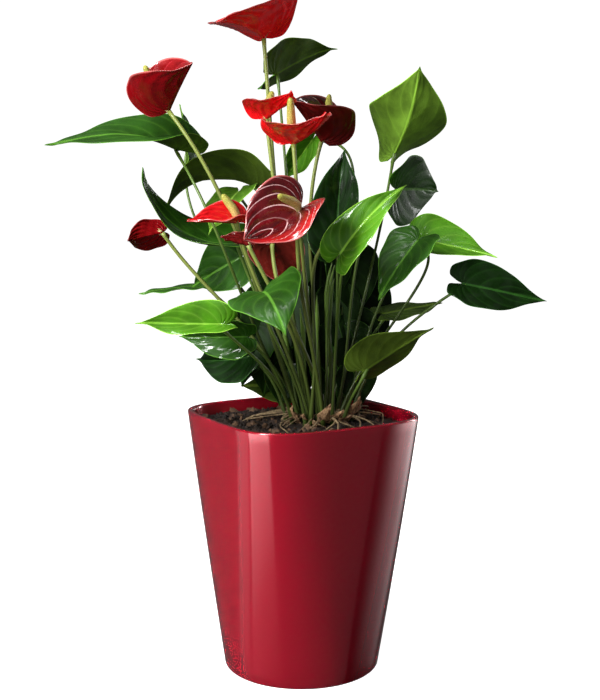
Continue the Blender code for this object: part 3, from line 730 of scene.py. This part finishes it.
# Leaves with a full wax shine; the others are satin.
WAXY = ("far_right", "left_glossy", "left_bright", "left_bowl", "left_low", "front_bright", "centre_dark")
leaf_finishes = {
    (shade, waxy): [
        leaf_finish(f"leaf_{name}_{shade}", face, vein, gloss, rough),
        leaf_finish(f"leaf_under_{name}_{shade}", back, scaled(back, 1.5), 0.0, 0.52),
    ]
    for shade, (face, vein, back) in LEAF_COLOURS.items()
    for waxy, name, gloss, rough in ((True, "waxy", 1.0, 0.38), (False, "satin", 0.16, 0.46))
}
petiole_finish = stalk_finish("petiole", (0.035, 0.055, 0.008), (0.11, 0.20, 0.025), 0.35)


def petiole_radii(count, length):
    """A sheath over the lowest 18 mm, a slim stalk, and a knuckle over the last 9 mm under the blade."""
    along = np.linspace(0, length, count)
    sheath = 0.8 * np.clip(1 - along / 0.018, 0, 1)
    knuckle = 0.4 * np.exp(-(((length - 0.006 - along) / 0.0035) ** 2))
    return PETIOLE * (1 + sheath + knuckle)


for key, row in LEAVES.items():
    blade = Blade(row, LEAF_MARGIN, 0.9)
    arrive = 0.8 * blade.along + 0.3 * blade.up + (0, 0, 0.6)
    line = stalk_line(row, blade.joint + PETIOLE_RUN * blade.along, arrive, STALK_POINTS)
    length = np.linalg.norm(np.diff(line, axis=0), axis=1).sum()
    sheets = [
        blade.sheet(96, 30, LEAF_THICK, leaf_relief, 0.0007, 0.0009),
        tube(line, petiole_radii(STALK_POINTS, length), 12, 2),
    ]
    finishes = leaf_finishes[row["shade"], key in WAXY]
    leaf = skin("foliage_" + key, in_planter(sheets), finishes + [petiole_finish])
    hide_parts("leaf_" + key)

# ---------------------------------------------------------------- flowers
# Each flower is a waxy heart-shaped spathe with raised ribs that arch from its joint to its tip, on a slim
# round stem, with a knobbly spadix of tiny packed florets standing on it.  Six are red, three maroon, and one
# that hangs low is going brown.
SPATHE_THICK = 0.0008
FLOWER_STEM = 0.0013
SPADIX = 0.0027
SPADIX_SHARES = (0, 0.1, 0.25, 0.5, 0.8, 0.94, 0.985, 1)
SPADIX_FORM = (0.5, 0.8, 1, 1.05, 0.9, 0.66, 0.4, 0.2)
SPADIX_POINTS = 60
SPADIX_RISE = 0.35         # the share of its length that it first rises square to the spathe
SPADIX_SWING = 0.7         # the share of its reach where it has turned to its own direction
SPATHE_RIBS = 7.0
SPATHE_RIB_SWEEP = 2.6
SPATHE_MARGIN = [(0.05, -0.12), (0.17, -0.22), (0.34, -0.18), (0.46, -0.02), (0.48, 0.18),
                 (0.42, 0.41), (0.29, 0.63), (0.14, 0.81), (0.04, 0.93), (0.0, 1.0)]
FLOWERS = {
    "top": plan(
        "red", (-2.5, -1.0, 43.3), (-5.2, -6.5, 43.5), (-0.1, 0.3, 0.9), width=1.15, gather=15, cup=10,
        sweep=15, spadix=(0.6, -0.4, 1.2), foot=(-0.6, 0.2)
    ),
    "left": plan(
        "red", (-8.8, -1.6, 38.5), (-6.9, -4.6, 41.3), (-0.95, 0.75, -0.05), width=1.6, fold=27, gather=14,
        cup=38, droop=5, spadix=(-1.5, -0.5, 2.9), foot=(-1.3, -0.8), lean=0.35, arrive=(-0.6, 0.3, 0.75)
    ),
    "small": plan(
        "red", (-2.3, -2.8, 37.9), (-0.6, -5.2, 39.5), (-0.3, 0.4, 0.8), width=1.25, fold=20, gather=20,
        droop=-5, curl=40, spadix=(0.4, 0.3, 1.8), foot=(-0.5, -0.6)
    ),
    "cup": plan(
        "red", (-0.5, -5.0, 36.2), (1.5, -9.5, 37.8), (-0.3, 0.6, 0.8), width=1.1, gather=5, cup=25,
        droop=-20, curl=10, twist=20, spadix=(-0.2, -0.6, 2.8), foot=(0.1, -1.3)
    ),
    "maroon": plan(
        "maroon", (1.4, 1.6, 36.7), (-0.7, -1.2, 39.3), (0.95, 0.7, 0.1), width=1.5, fold=27, gather=11,
        cup=38, droop=5, spadix=(0.5, -1.0, 3.1)
    ),
    "front": plan(
        "maroon", (-0.2, -6.0, 31.9), (-3.5, -9.5, 30.2), (-0.2, -0.8, 0.5), width=1.1, fold=10, gather=30,
        cup=15, droop=-20, curl=25, spadix=(-1.2, -1.8, 1.0), foot=(0.3, -2.1)
    ),
    "side": plan(
        "red", (-4.2, -4.0, 31.2), (-7.3, -5.5, 31.3), (0.0, -0.5, 0.9), width=0.95, fold=25, gather=15,
        cup=15, droop=0, spadix=(-0.9, -0.3, 1.8), foot=(-0.6, -1.3), lean=0.3, arrive=(-0.2, -0.5, 0.9)
    ),
    "far_left": plan(
        "red", (-9.8, 2.0, 30.4), (-11.9, 0.0, 29.9), (-0.3, 0.9, 0.0), fold=35, droop=40,
        spadix=(-1.2, 1.2, 0.6), foot=(-1.9, 0.6), arrive=(-0.5, -0.2, 0.8)
    ),
    "hanging": plan(
        "brown", (-1.9, -4.0, 29.8), (-0.3, -2.5, 26.7), (0.0, 1.0, 0.3), width=1.05, fold=10, droop=0,
        spadix=(0.5, 1.0, 0.1), foot=(0.5, -0.5)
    ),
    "dark": plan(
        "maroon", (-3.4, -5.3, 29.8), (-5.2, -5.3, 30.3), (0.0, 0.6, 0.8), fold=25, gather=0, droop=0,
        spadix=(-0.3, 1.0, 0.9), foot=(-0.5, -1.9), lean=0.1, arrive=(-0.45, -0.1, 0.9)
    ),
}


def spathe_relief(share, side):
    """The upper side swells by up to 0.9 mm between ribs, and is dimpled across them."""
    label = share * SPATHE_RIBS - SPATHE_RIB_SWEEP * side**2
    rib = np.abs(np.sin(math.pi * label))
    across = np.clip(np.abs(side) / 0.10, 0, 1) * np.clip((1 - np.abs(side)) / 0.10, 0, 1)
    dimple = 0.25 * np.sin(18 * side + 3 * np.sin(7 * share)) * np.sin(31 * share + 4 * side)
    return 0.0009 * across * (rib**0.7 + dimple)


# The face's colour, its deeper patches, the painted highlight along its ribs, and the back's colour.
SPATHE_COLOURS = {
    # The red back is lighter than the red face: painted light for spathes that turn their backs down.
    "red": ((0.66, 0.006, 0.009), (0.50, 0.003, 0.006), (0.68, 0.05, 0.06), (0.90, 0.008, 0.012)),
    "crimson": ((0.26, 0.003, 0.005), (0.20, 0.002, 0.004), (0.40, 0.02, 0.03), (0.20, 0.002, 0.004)),
    "maroon": ((0.105, 0.003, 0.006), (0.055, 0.002, 0.003), (0.80, 0.50, 0.50), (0.15, 0.006, 0.006)),
    "brown": ((0.17, 0.010, 0.006), (0.09, 0.006, 0.004), (0.40, 0.12, 0.07), (0.14, 0.012, 0.008)),
}
SPATHE_LIT_LOBE = {"maroon": (0.42, 0.008, 0.010)}                 # painted light on the lobe by the left margin
SPATHE_TONES = {"left": "crimson", "far_left": "crimson"}       # red spathes of a deeper tone
# Colour of the painted highlight along a spathe's margin.
RIM_HIGHLIGHT_COLOUR = (0.55, 0.14, 0.13)
BROWN_FLECKS = (0.42, 0.20, 0.03)


def spathe_finish(name, base, deep, rib_highlight, gloss, speckled=False, lit_lobe=None):
    """Waxy spathe: deeper colour in patches, painted highlights on ribs and rim, fine bumps over the skin."""
    coat = {"Coat Weight": gloss, "Coat Roughness": 0.06}
    finish = Finish(name, {"IOR": 1.5, "Specular IOR Level": 0.1 + 0.5 * gloss, **coat})
    way, side, ridge = finish.ribs(SPATHE_RIBS, SPATHE_RIB_SWEEP)
    # The ribs' painted highlight, broken into glints by noise.
    line = ridge.between(0.02, 0.07, 1.0, 0.0) * finish.noise(90.0, 2.0).between(0.40, 0.52, 0.25, 1.0)
    rim = side.between(0.955, 0.985)
    mottle = finish.noise(70.0, 4.0, 0.6)
    pores = finish.noise(1500.0, 2.0)
    colour = finish.mix(mottle.between(0.3, 0.7), deep, base)
    # Painted light on the lobe along the left margin.
    if lit_lobe:
        colour = finish.mix(way.between(0.05, 0.35, 0.85, 0.0), colour, lit_lobe)
    # Painted highlight along the ribs: faint on the red spathes, strong on the darker ones.
    colour = finish.mix(line * (0.08 if base[0] > 0.3 else 0.8), colour, rib_highlight)
    # Painted highlight along the margin, where the thin edge catches the light.
    colour = finish.mix(rim * 0.75, colour, RIM_HIGHLIGHT_COLOUR)
    if speckled:
        patch = finish.noise(55.0, 2.0).between(0.42, 0.58)
        colour = finish.mix(finish.cells(420.0).between(0.15, 0.35, 0.8, 0.0) * patch, colour, BROWN_FLECKS)
    rough = mottle.between(0.3, 0.7, 0.16, 0.30)
    return finish.set(colour=colour, roughness=rough, bump=(pores, 0.00006, 0.4))


spathe_finishes = {
    shade: [
        spathe_finish("spathe_face_" + shade, *face, 0.8, shade == "brown", SPATHE_LIT_LOBE.get(shade)),
        spathe_finish("spathe_back_" + shade, back, scaled(back, 0.8), back, 0.12),
    ]
    for shade, (*face, back) in SPATHE_COLOURS.items()
}
stem_finish = stalk_finish("flower_stem", (0.05, 0.075, 0.012), (0.27, 0.33, 0.07), 0.34)


def spadix_finish():
    """Packed florets: a diamond net over a colour that goes from cream at the foot to yellow and green."""
    finish = Finish("spadix_florets", {"Coat Weight": 0.15, "IOR": 1.45})
    stops = [(0.0, (0.62, 0.48, 0.26)), (0.45, (0.66, 0.58, 0.16)), (1.0, (0.42, 0.46, 0.06))]
    colour = finish.node("ValToRGB", {"stops": stops}, {"Fac": finish.uv("way").part("Y")})
    floret = finish.cells(1500.0)
    colour = finish.mix(floret.between(0.25, 0.6, 0.0, 0.6), colour, (0.22, 0.17, 0.03))
    rough = floret.between(0.2, 0.6, 0.4, 0.7)
    return finish.set(colour=colour, roughness=rough, bump=(1 - floret, 0.0003))


florets = spadix_finish()


def knobs(turn, share):
    """Floret rows cross in two spirals, so the skin rises and falls by 6% in a diamond pattern."""
    first = np.cos(2 * math.pi * (6 * turn + 14 * share))
    return 1 + 0.06 * first * np.cos(2 * math.pi * (6 * turn - 14 * share))


stem_share = np.linspace(0, 1, STALK_POINTS)
stem_foot = 0.35 * np.clip(1 - stem_share / 0.08, 0, 1)
stem_neck = 0.25 * np.clip((stem_share - 0.97) / 0.03, 0, 1)
stem_radii = FLOWER_STEM * (1 + stem_foot + stem_neck)
spadix_radii = SPADIX * np.interp(np.linspace(0, 1, SPADIX_POINTS), SPADIX_SHARES, SPADIX_FORM)
for key, row in FLOWERS.items():
    blade = Blade(row, SPATHE_MARGIN, 1.0)
    spathe = skin(
        "bract_" + key,
        in_planter([blade.sheet(110, 36, SPATHE_THICK, spathe_relief, 0.0004, 0.0006)]),
        spathe_finishes[SPATHE_TONES.get(key, row["shade"])],
    )
    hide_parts("spathe_" + key)
    "spathe_red" if row["shade"] == "red" else "spathe_maroon"
    arrive = unit(row.get("arrive", 0.5 * blade.up + (0, 0, 0.8)))
    line = stalk_line(row, blade.joint - 0.0004 * blade.up, arrive, STALK_POINTS)
    stem = skin("scape_" + key, in_planter([tube(line, stem_radii, 12, 0)]), [stem_finish])
    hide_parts("stem_" + key)
    reach = np.array(row["spadix"]) / 100
    base = blade.joint + 0.0002 * blade.up
    rise = SPADIX_RISE * np.linalg.norm(reach) * blade.up
    line = bezier(base, base + rise, base + SPADIX_SWING * reach, base + reach, SPADIX_POINTS)
    spadix = skin("florets_" + key, in_planter([tube(line, spadix_radii, 24, 0, knobs)]), [florets])
    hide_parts("spadix_" + key)

# ---------------------------------------------------------------- young shoots and low leaves
# Between the older stalks stand rolled new leaves, like green spindles on thin petioles, and a few small
# leaves, painted near-black as shade.  One bare stalk has lost its flower and hooks over at its top.
# Near-black finishes: painted shade of the inside of the crown.
painted_shade_finishes = [
    leaf_finish("low_leaf_face_painted_shade", (0.008, 0.026, 0.003), (0.02, 0.06, 0.006), 0.3, 0.45),
    leaf_finish("low_leaf_back_painted_shade", (0.014, 0.036, 0.004), (0.03, 0.07, 0.008), 0.0, 0.55),
]
# Joint, tip, the way the upper side faces, foot, and width.
LOW_LEAVES = (
    ((-0.6, 3.4, 26.6), (-2.3, 3.6, 22.2), (-0.3, -0.9, 0.3), (-0.5, 1.6), 1.0),
    ((0.9, 3.6, 25.2), (0.3, 3.9, 20.4), (0.1, -0.9, 0.3), (-0.1, 1.2), 1.1),
    ((2.4, 3.4, 25.8), (3.1, 3.6, 21.2), (0.1, -0.9, 0.2), (0.4, 1.4), 1.0),
    ((3.8, 3.8, 24.0), (4.9, 3.9, 20.0), (0.3, -0.9, 0.2), (0.9, 1.3), 1.0),
    ((-2.2, 4.6, 24.4), (-4.4, 4.4, 21.6), (-0.3, -0.9, 0.3), (-1.0, 1.6), 1.1),
    ((-0.2, 4.6, 22.6), (-1.2, 5.0, 19.0), (-0.1, -0.9, 0.3), (-0.6, 2.1), 1.2),
    ((2.9, 5.2, 29.2), (4.4, 5.0, 25.4), (0.1, -0.9, 0.3), (0.7, 2.0), 1.0),
    ((0.2, 5.4, 30.2), (-0.8, 5.2, 26.2), (-0.1, -0.9, 0.3), (0.1, 2.3), 1.0),
    ((-3.3, 2.9, 23.8), (-4.3, 2.9, 19.2), (-0.2, -0.9, 0.2), (-1.5, 1.6), 1.2),
    ((-1.6, 3.0, 25.6), (-2.6, 3.0, 20.0), (-0.1, -0.9, 0.2), (-1.0, 1.9), 1.2),
    ((-2.1, 3.7, 22.4), (-2.8, 3.8, 18.4), (0.1, -0.9, 0.2), (-1.2, 2.3), 1.4),
    ((0.2, 3.4, 22.4), (-0.2, 3.5, 18.2), (0.0, -0.9, 0.2), (-0.4, 2.0), 1.4),
    ((1.5, 3.4, 23.0), (1.6, 3.5, 18.4), (0.1, -0.9, 0.2), (0.2, 2.2), 1.3),
    ((2.8, 3.2, 23.2), (3.2, 3.4, 18.6), (0.1, -0.9, 0.2), (0.7, 2.1), 1.3),
    ((3.6, 2.8, 22.4), (4.3, 3.0, 18.8), (0.3, -0.9, 0.2), (1.2, 1.6), 1.3),
    ((-0.9, 3.2, 29.4), (-1.8, 3.0, 24.2), (-0.1, -0.9, 0.3), (-0.3, 1.9), 1.2),
    ((1.4, 3.2, 29.0), (1.2, 3.4, 24.0), (0.1, -0.9, 0.3), (0.1, 2.0), 1.2),
    ((3.3, 3.4, 28.6), (4.0, 3.6, 24.0), (0.2, -0.9, 0.3), (0.8, 1.9), 1.2),
    ((2.3, 3.0, 21.0), (2.6, 2.9, 17.7), (0.1, -0.9, 0.1), (0.5, 2.2), 1.5),
    ((3.7, 2.4, 20.6), (4.3, 2.3, 17.8), (0.2, -0.9, 0.1), (1.5, 1.5), 1.5),
    ((-1.0, 3.0, 20.6), (-1.6, 2.9, 17.8), (-0.1, -0.9, 0.1), (-1.1, 2.3), 1.5),
)
sheets = []
for at, tip, faces, foot, width in LOW_LEAVES:
    row = plan("low", at, tip, faces, foot=foot)
    blade = Blade(row, LEAF_MARGIN, width)
    line = stalk_line(row, blade.joint + 0.0015 * blade.along, 0.5 * blade.along + (0, 0, 1.0), 30)
    sheets += [
        blade.sheet(60, 18, LEAF_THICK, leaf_relief, 0.0005, 0.0006),
        tube(line, 0.8 * petiole_radii(30, 0.1), 8, 2),
    ]
low_leaves = skin("low_leaves", in_planter(sheets), painted_shade_finishes + [petiole_finish])

def by_crown(radius, bearing, height):
    """A place in centimetres, round the middle of the crown."""
    return (CROWN[0] + radius * math.cos(bearing), CROWN[1] + radius * math.sin(bearing), height)


sheets = []
for k in range(15):
    bearing = k * GOLDEN_TURN + 0.4
    spread = 0.5 + 1.9 * ((k * GOLDEN_SHARE) % 1)
    tall = 4.0 + 8.0 * ((k * 0.377) % 1)
    foot = (spread * 0.8 * math.cos(bearing), spread * 0.8 * math.sin(bearing))
    top = (CROWN[0] + foot[0] * 2.1, CROWN[1] + foot[1] * 2.1, SOIL_TOP * 100 + tall)
    row = {"at": top, "foot": foot}
    upward = (0.3 * math.cos(bearing), 0.3 * math.sin(bearing), 1.0)
    line = stalk_line(row, np.array(top) / 100, upward, 40)
    share = np.linspace(0, 1, 40)
    rolled = np.interp(share, (0, 0.12, 0.55, 0.66, 0.80, 0.93, 1), (1.7, 1.0, 0.8, 1.2, 1.7, 0.9, 0.15))
    sheets.append(tube(line, 0.0010 * rolled, 10, 0))
shoots = skin("rolled_shoots", in_planter(sheets), [petiole_finish])

HOOK = [(0.6, -1.6, 17.2), (0.9, -2.6, 22.0), (0.75, -3.2, 26.5),
        (0.9, -3.6, 28.6), (1.35, -3.9, 29.6), (1.55, -4.1, 29.7)]
share = np.linspace(0, 1, 50)
line = through(np.array(HOOK) / 100, share)
thick = np.interp(share, (0, 0.08, 0.7, 0.9, 0.97, 1), (1.9, 1.2, 1.1, 1.6, 2.0, 1.3)) / 1000
hooked = skin("hooked_stalk", in_planter([tube(line, thick, 12, 0)]), [stem_finish])

# ---------------------------------------------------------------- dry sheaths and roots
# Papery brown sheaths cling to the feet of the stalks, and pale air roots run over the soil.
def dry_finish(name, pale, dark):
    finish = Finish(name, {"Specular IOR Level": 0.25})
    fibre = finish.node("Mapping", None, {"Vector": finish.place(), "Scale": (1, 1, 0.15)})
    streak = finish.noise(900.0, 4.0, 0.6, fibre)
    blotch = finish.noise(160.0, 2.0)
    colour = finish.mix(streak.between(0.3, 0.7), dark, pale)
    colour = finish.mix(blotch.between(0.5, 0.65, 0.0, 0.6), colour, scaled(dark, 0.5))
    rough = streak.between(0.2, 0.8, 0.6, 0.9)
    return finish.set(colour=colour, roughness=rough, bump=(streak, 0.0003))


papery = dry_finish("papery_sheath", (0.40, 0.25, 0.13), (0.14, 0.07, 0.035))
rooty = dry_finish("air_root", (0.26, 0.19, 0.10), (0.08, 0.05, 0.025))
SHEATH_MARGIN = [(0.02, -0.02), (0.06, -0.02), (0.10, 0.02), (0.13, 0.10), (0.15, 0.25),
                 (0.14, 0.45), (0.10, 0.65), (0.06, 0.82), (0.02, 0.94), (0.0, 1.0)]


def crumpled(share, side):
    """Long creases, up to 0.6 mm."""
    return 0.0006 * np.sin(9 * side + 5 * share) * np.sin(14 * share) * (1 - np.abs(side))


sheets = []
for k in range(11):
    bearing = math.radians(200 + 17 * k)
    near = 1.5 + 0.6 * ((k * GOLDEN_SHARE) % 1)
    far = near + 0.9 + 0.8 * ((k * 0.382) % 1)
    tip = by_crown(far, bearing + 0.3, 17.6 + 1.7 * ((k * 0.71) % 1))
    inwards = (-math.cos(bearing), -math.sin(bearing), 0.3)
    row = dict(at=by_crown(near, bearing, 17.15), tip=tip, faces=inwards, width=1.3,
               fold=10, cup=60, droop=-25 + 60 * ((k * 0.29) % 1), curl=40)
    sheets.append(Blade(row, SHEATH_MARGIN, 1.0).sheet(28, 10, 0.0003, crumpled, 0.0, 0.0008))
sheaths = skin("dry_sheaths", in_planter(sheets), [papery, papery])

ROOT_REACH = 0.057         # roots end this far from the planter's axis
sheets = []
for k in range(34):
    bearing = k * GOLDEN_TURN
    near = 1.2 + 1.6 * ((k * GOLDEN_SHARE) % 1)
    far = 2.6 + 2.9 * ((k * 0.755) % 1)
    swing = 0.5 * math.sin(5 * k)
    high = 17.45 + 0.35 * ((k * 0.377) % 1)
    points = [
        by_crown(near, bearing, high + 0.3),
        by_crown(0.6 * (near + far), bearing + swing / 2, high),
        by_crown(far, bearing + swing, 17.32),
        by_crown(far + 0.4, bearing + swing, 17.1),
    ]
    line = through(np.array(points) / 100, np.linspace(0, 1, 22))
    line[:, :2] *= np.minimum(1, ROOT_REACH / np.linalg.norm(line[:, :2], axis=1))[:, None]
    thick = (0.0004 + 0.0005 * ((k * 0.29) % 1)) * np.linspace(1, 0.5, 22)
    sheets.append(tube(line, thick, 7, 0))
roots = skin("roots_and_twigs", in_planter(sheets), [rooty])

# ---------------------------------------------------------------- studio
# A plain pale sweep to stand on, a tall softbox at the left front, a narrow one behind on the right, a low
# fill in front, a lamp overhead, and curved cards that only show in the planter's gloss.
CAMERA_DIP = math.radians(7.1)
CAMERA_PLACE = (0, -0.80, 0.323)
CAMERA_LENS = 59.7
AIR_GLOW = 0.10
PAPER = (0.93, 0.93, 0.93)


def studio_paper():
    glow = {"Emission Color": (1.0, 1.0, 1.0, 1.0), "Emission Strength": 0.93}
    finish = Finish("studio_paper", {"Roughness": 0.9, "Specular IOR Level": 0.0, **glow})
    return finish.set(colour=finish.mix(finish.noise(30.0, 2.0), PAPER, scaled(PAPER, 0.99)))


# The sweep's side view: a floor from 6 m in front to 4 m behind, a quarter round of 2 m, and a wall 6 m high.
quarter = np.radians(np.linspace(0, 90, 10))[1:]
rows = np.concatenate([[-6.0, 4.0], 4.0 + 2.0 * np.sin(quarter), [6.0]])
lift = np.concatenate([[0.0, 0.0], 2.0 - 2.0 * np.cos(quarter), [6.0]])
wide = np.array([-8.0, 8.0])
sweep = np.stack(np.broadcast_arrays(wide[None], rows[:, None], lift[:, None]), -1)
number = np.arange(len(rows) * 2).reshape(-1, 2)
mesh = new_mesh("studio_sweep", turned(sweep), quads(number[:, :1], number[:, 1:]))
mesh.shade_smooth()
mesh.materials.append(studio_paper())
studio_sweep = new_object("studio_sweep", mesh)
studio_sweep.visible_glossy = False
studio_sweep.visible_diffuse = False


def softbox(name, place, aim, width, height, watts, in_gloss=True):
    """A rectangular lamp at place that points at aim, both as seen from the show side."""
    lamp = bpy.data.lights.new(name, "AREA")
    lamp.shape = "RECTANGLE"
    lamp.size, lamp.size_y, lamp.energy = width, height, watts
    holder = new_object(name, lamp)
    holder.location = turned(place)
    x, y, z = turned(aim) - turned(place)
    holder.rotation_euler = (math.atan2(math.hypot(x, y), -z), 0, math.atan2(y, x) - math.pi / 2)
    holder.visible_glossy = in_gloss


softbox("key_light", (-1.1, -1.0, 1.0), (0, 0, 0.25), 0.45, 0.9, 46)
softbox("rim_light", (1.5, 0.9, 0.7), (0, 0, 0.2), 0.3, 1.2, 14)
softbox("front_fill", (-0.7, -1.5, 0.15), (0, 0, 0.3), 1.2, 0.8, 16, in_gloss=False)
softbox("top_light", (-0.5, -0.2, 1.5), (0, 0, 0.3), 0.5, 0.5, 13)


def glow_card(name, start, stop, low, high, radius, soft, tones):
    """A tall curved card round the planter that only shows in its gloss: from one bearing to another, from
    height low to high.  tones is its brightness from the lower edge to the upper one, and soft is the share
    of its width over which its sides fade."""
    across, up = np.meshgrid(np.linspace(0, 1, 25), np.linspace(0, 1, 9))
    bearing = np.radians(start + (stop - start) * across)
    card = np.stack([radius * np.cos(bearing), radius * np.sin(bearing), low + (high - low) * up], -1)
    number = np.arange(card.size // 3).reshape(up.shape).T
    mesh = new_mesh(name, turned(card), quads(number[:, :-1], number[:, 1:]))
    map_corners(mesh, "way", np.stack([across, up], -1))
    finish = Finish(name, {"Base Color": (0, 0, 0, 1), "Specular IOR Level": 0.0, "Emission Strength": 1.0})
    way = finish.uv("way")
    fade = (0.5 - (way - 0.5).abs()).between(0.0, soft)
    stops = [(k / (len(tones) - 1), (tone,) * 3) for k, tone in enumerate(tones)]
    upward = finish.node("ValToRGB", {"stops": stops}, {"Fac": way.part("Y")})
    mesh.materials.append(finish.set(glow=finish.mix(fade, (0.0, 0.0, 0.0), upward)))
    piece = new_object(name, mesh)
    piece.visible_camera = False
    piece.visible_diffuse = False
    piece.visible_shadow = False
    piece.light_linking.receiver_collection = planter_only


planter_only = bpy.data.collections.new("planter_only")
planter_only.objects.link(planter)
glow_card("front_card", 189, 240, -1.35, 0.0, 1.5, 0.02, (0.1, 0.3, 1.6, 6.8))
glow_card("side_card", 165, 186, -1.35, 0.0, 1.5, 0.05, (0.1, 0.25, 0.6, 0.9))
glow_card("far_card", 340, 420, -1.35, 0.0, 1.5, 0.35, (0.0, 0.05, 0.7, 3.6))

world = bpy.data.worlds.new("studio_air")
world.use_nodes = True
air = world.node_tree.nodes["Background"]
air.inputs["Color"].default_value = (1.0, 1.0, 1.0, 1.0)
air.inputs["Strength"].default_value = AIR_GLOW
bpy.context.scene.world = world
bpy.context.scene.view_settings.view_transform = "Standard"

camera = bpy.data.cameras.new("camera")
camera.sensor_fit = "VERTICAL"
camera.sensor_height = 36.0
camera.lens = CAMERA_LENS
camera.shift_x = -0.002
seat = new_object("camera", camera)
seat.location = turned(CAMERA_PLACE)
seat.rotation_euler = (math.pi / 2 - CAMERA_DIP, 0, SHOW_TURN)
bpy.context.scene.camera = seat

bpy.context.view_layer.update()
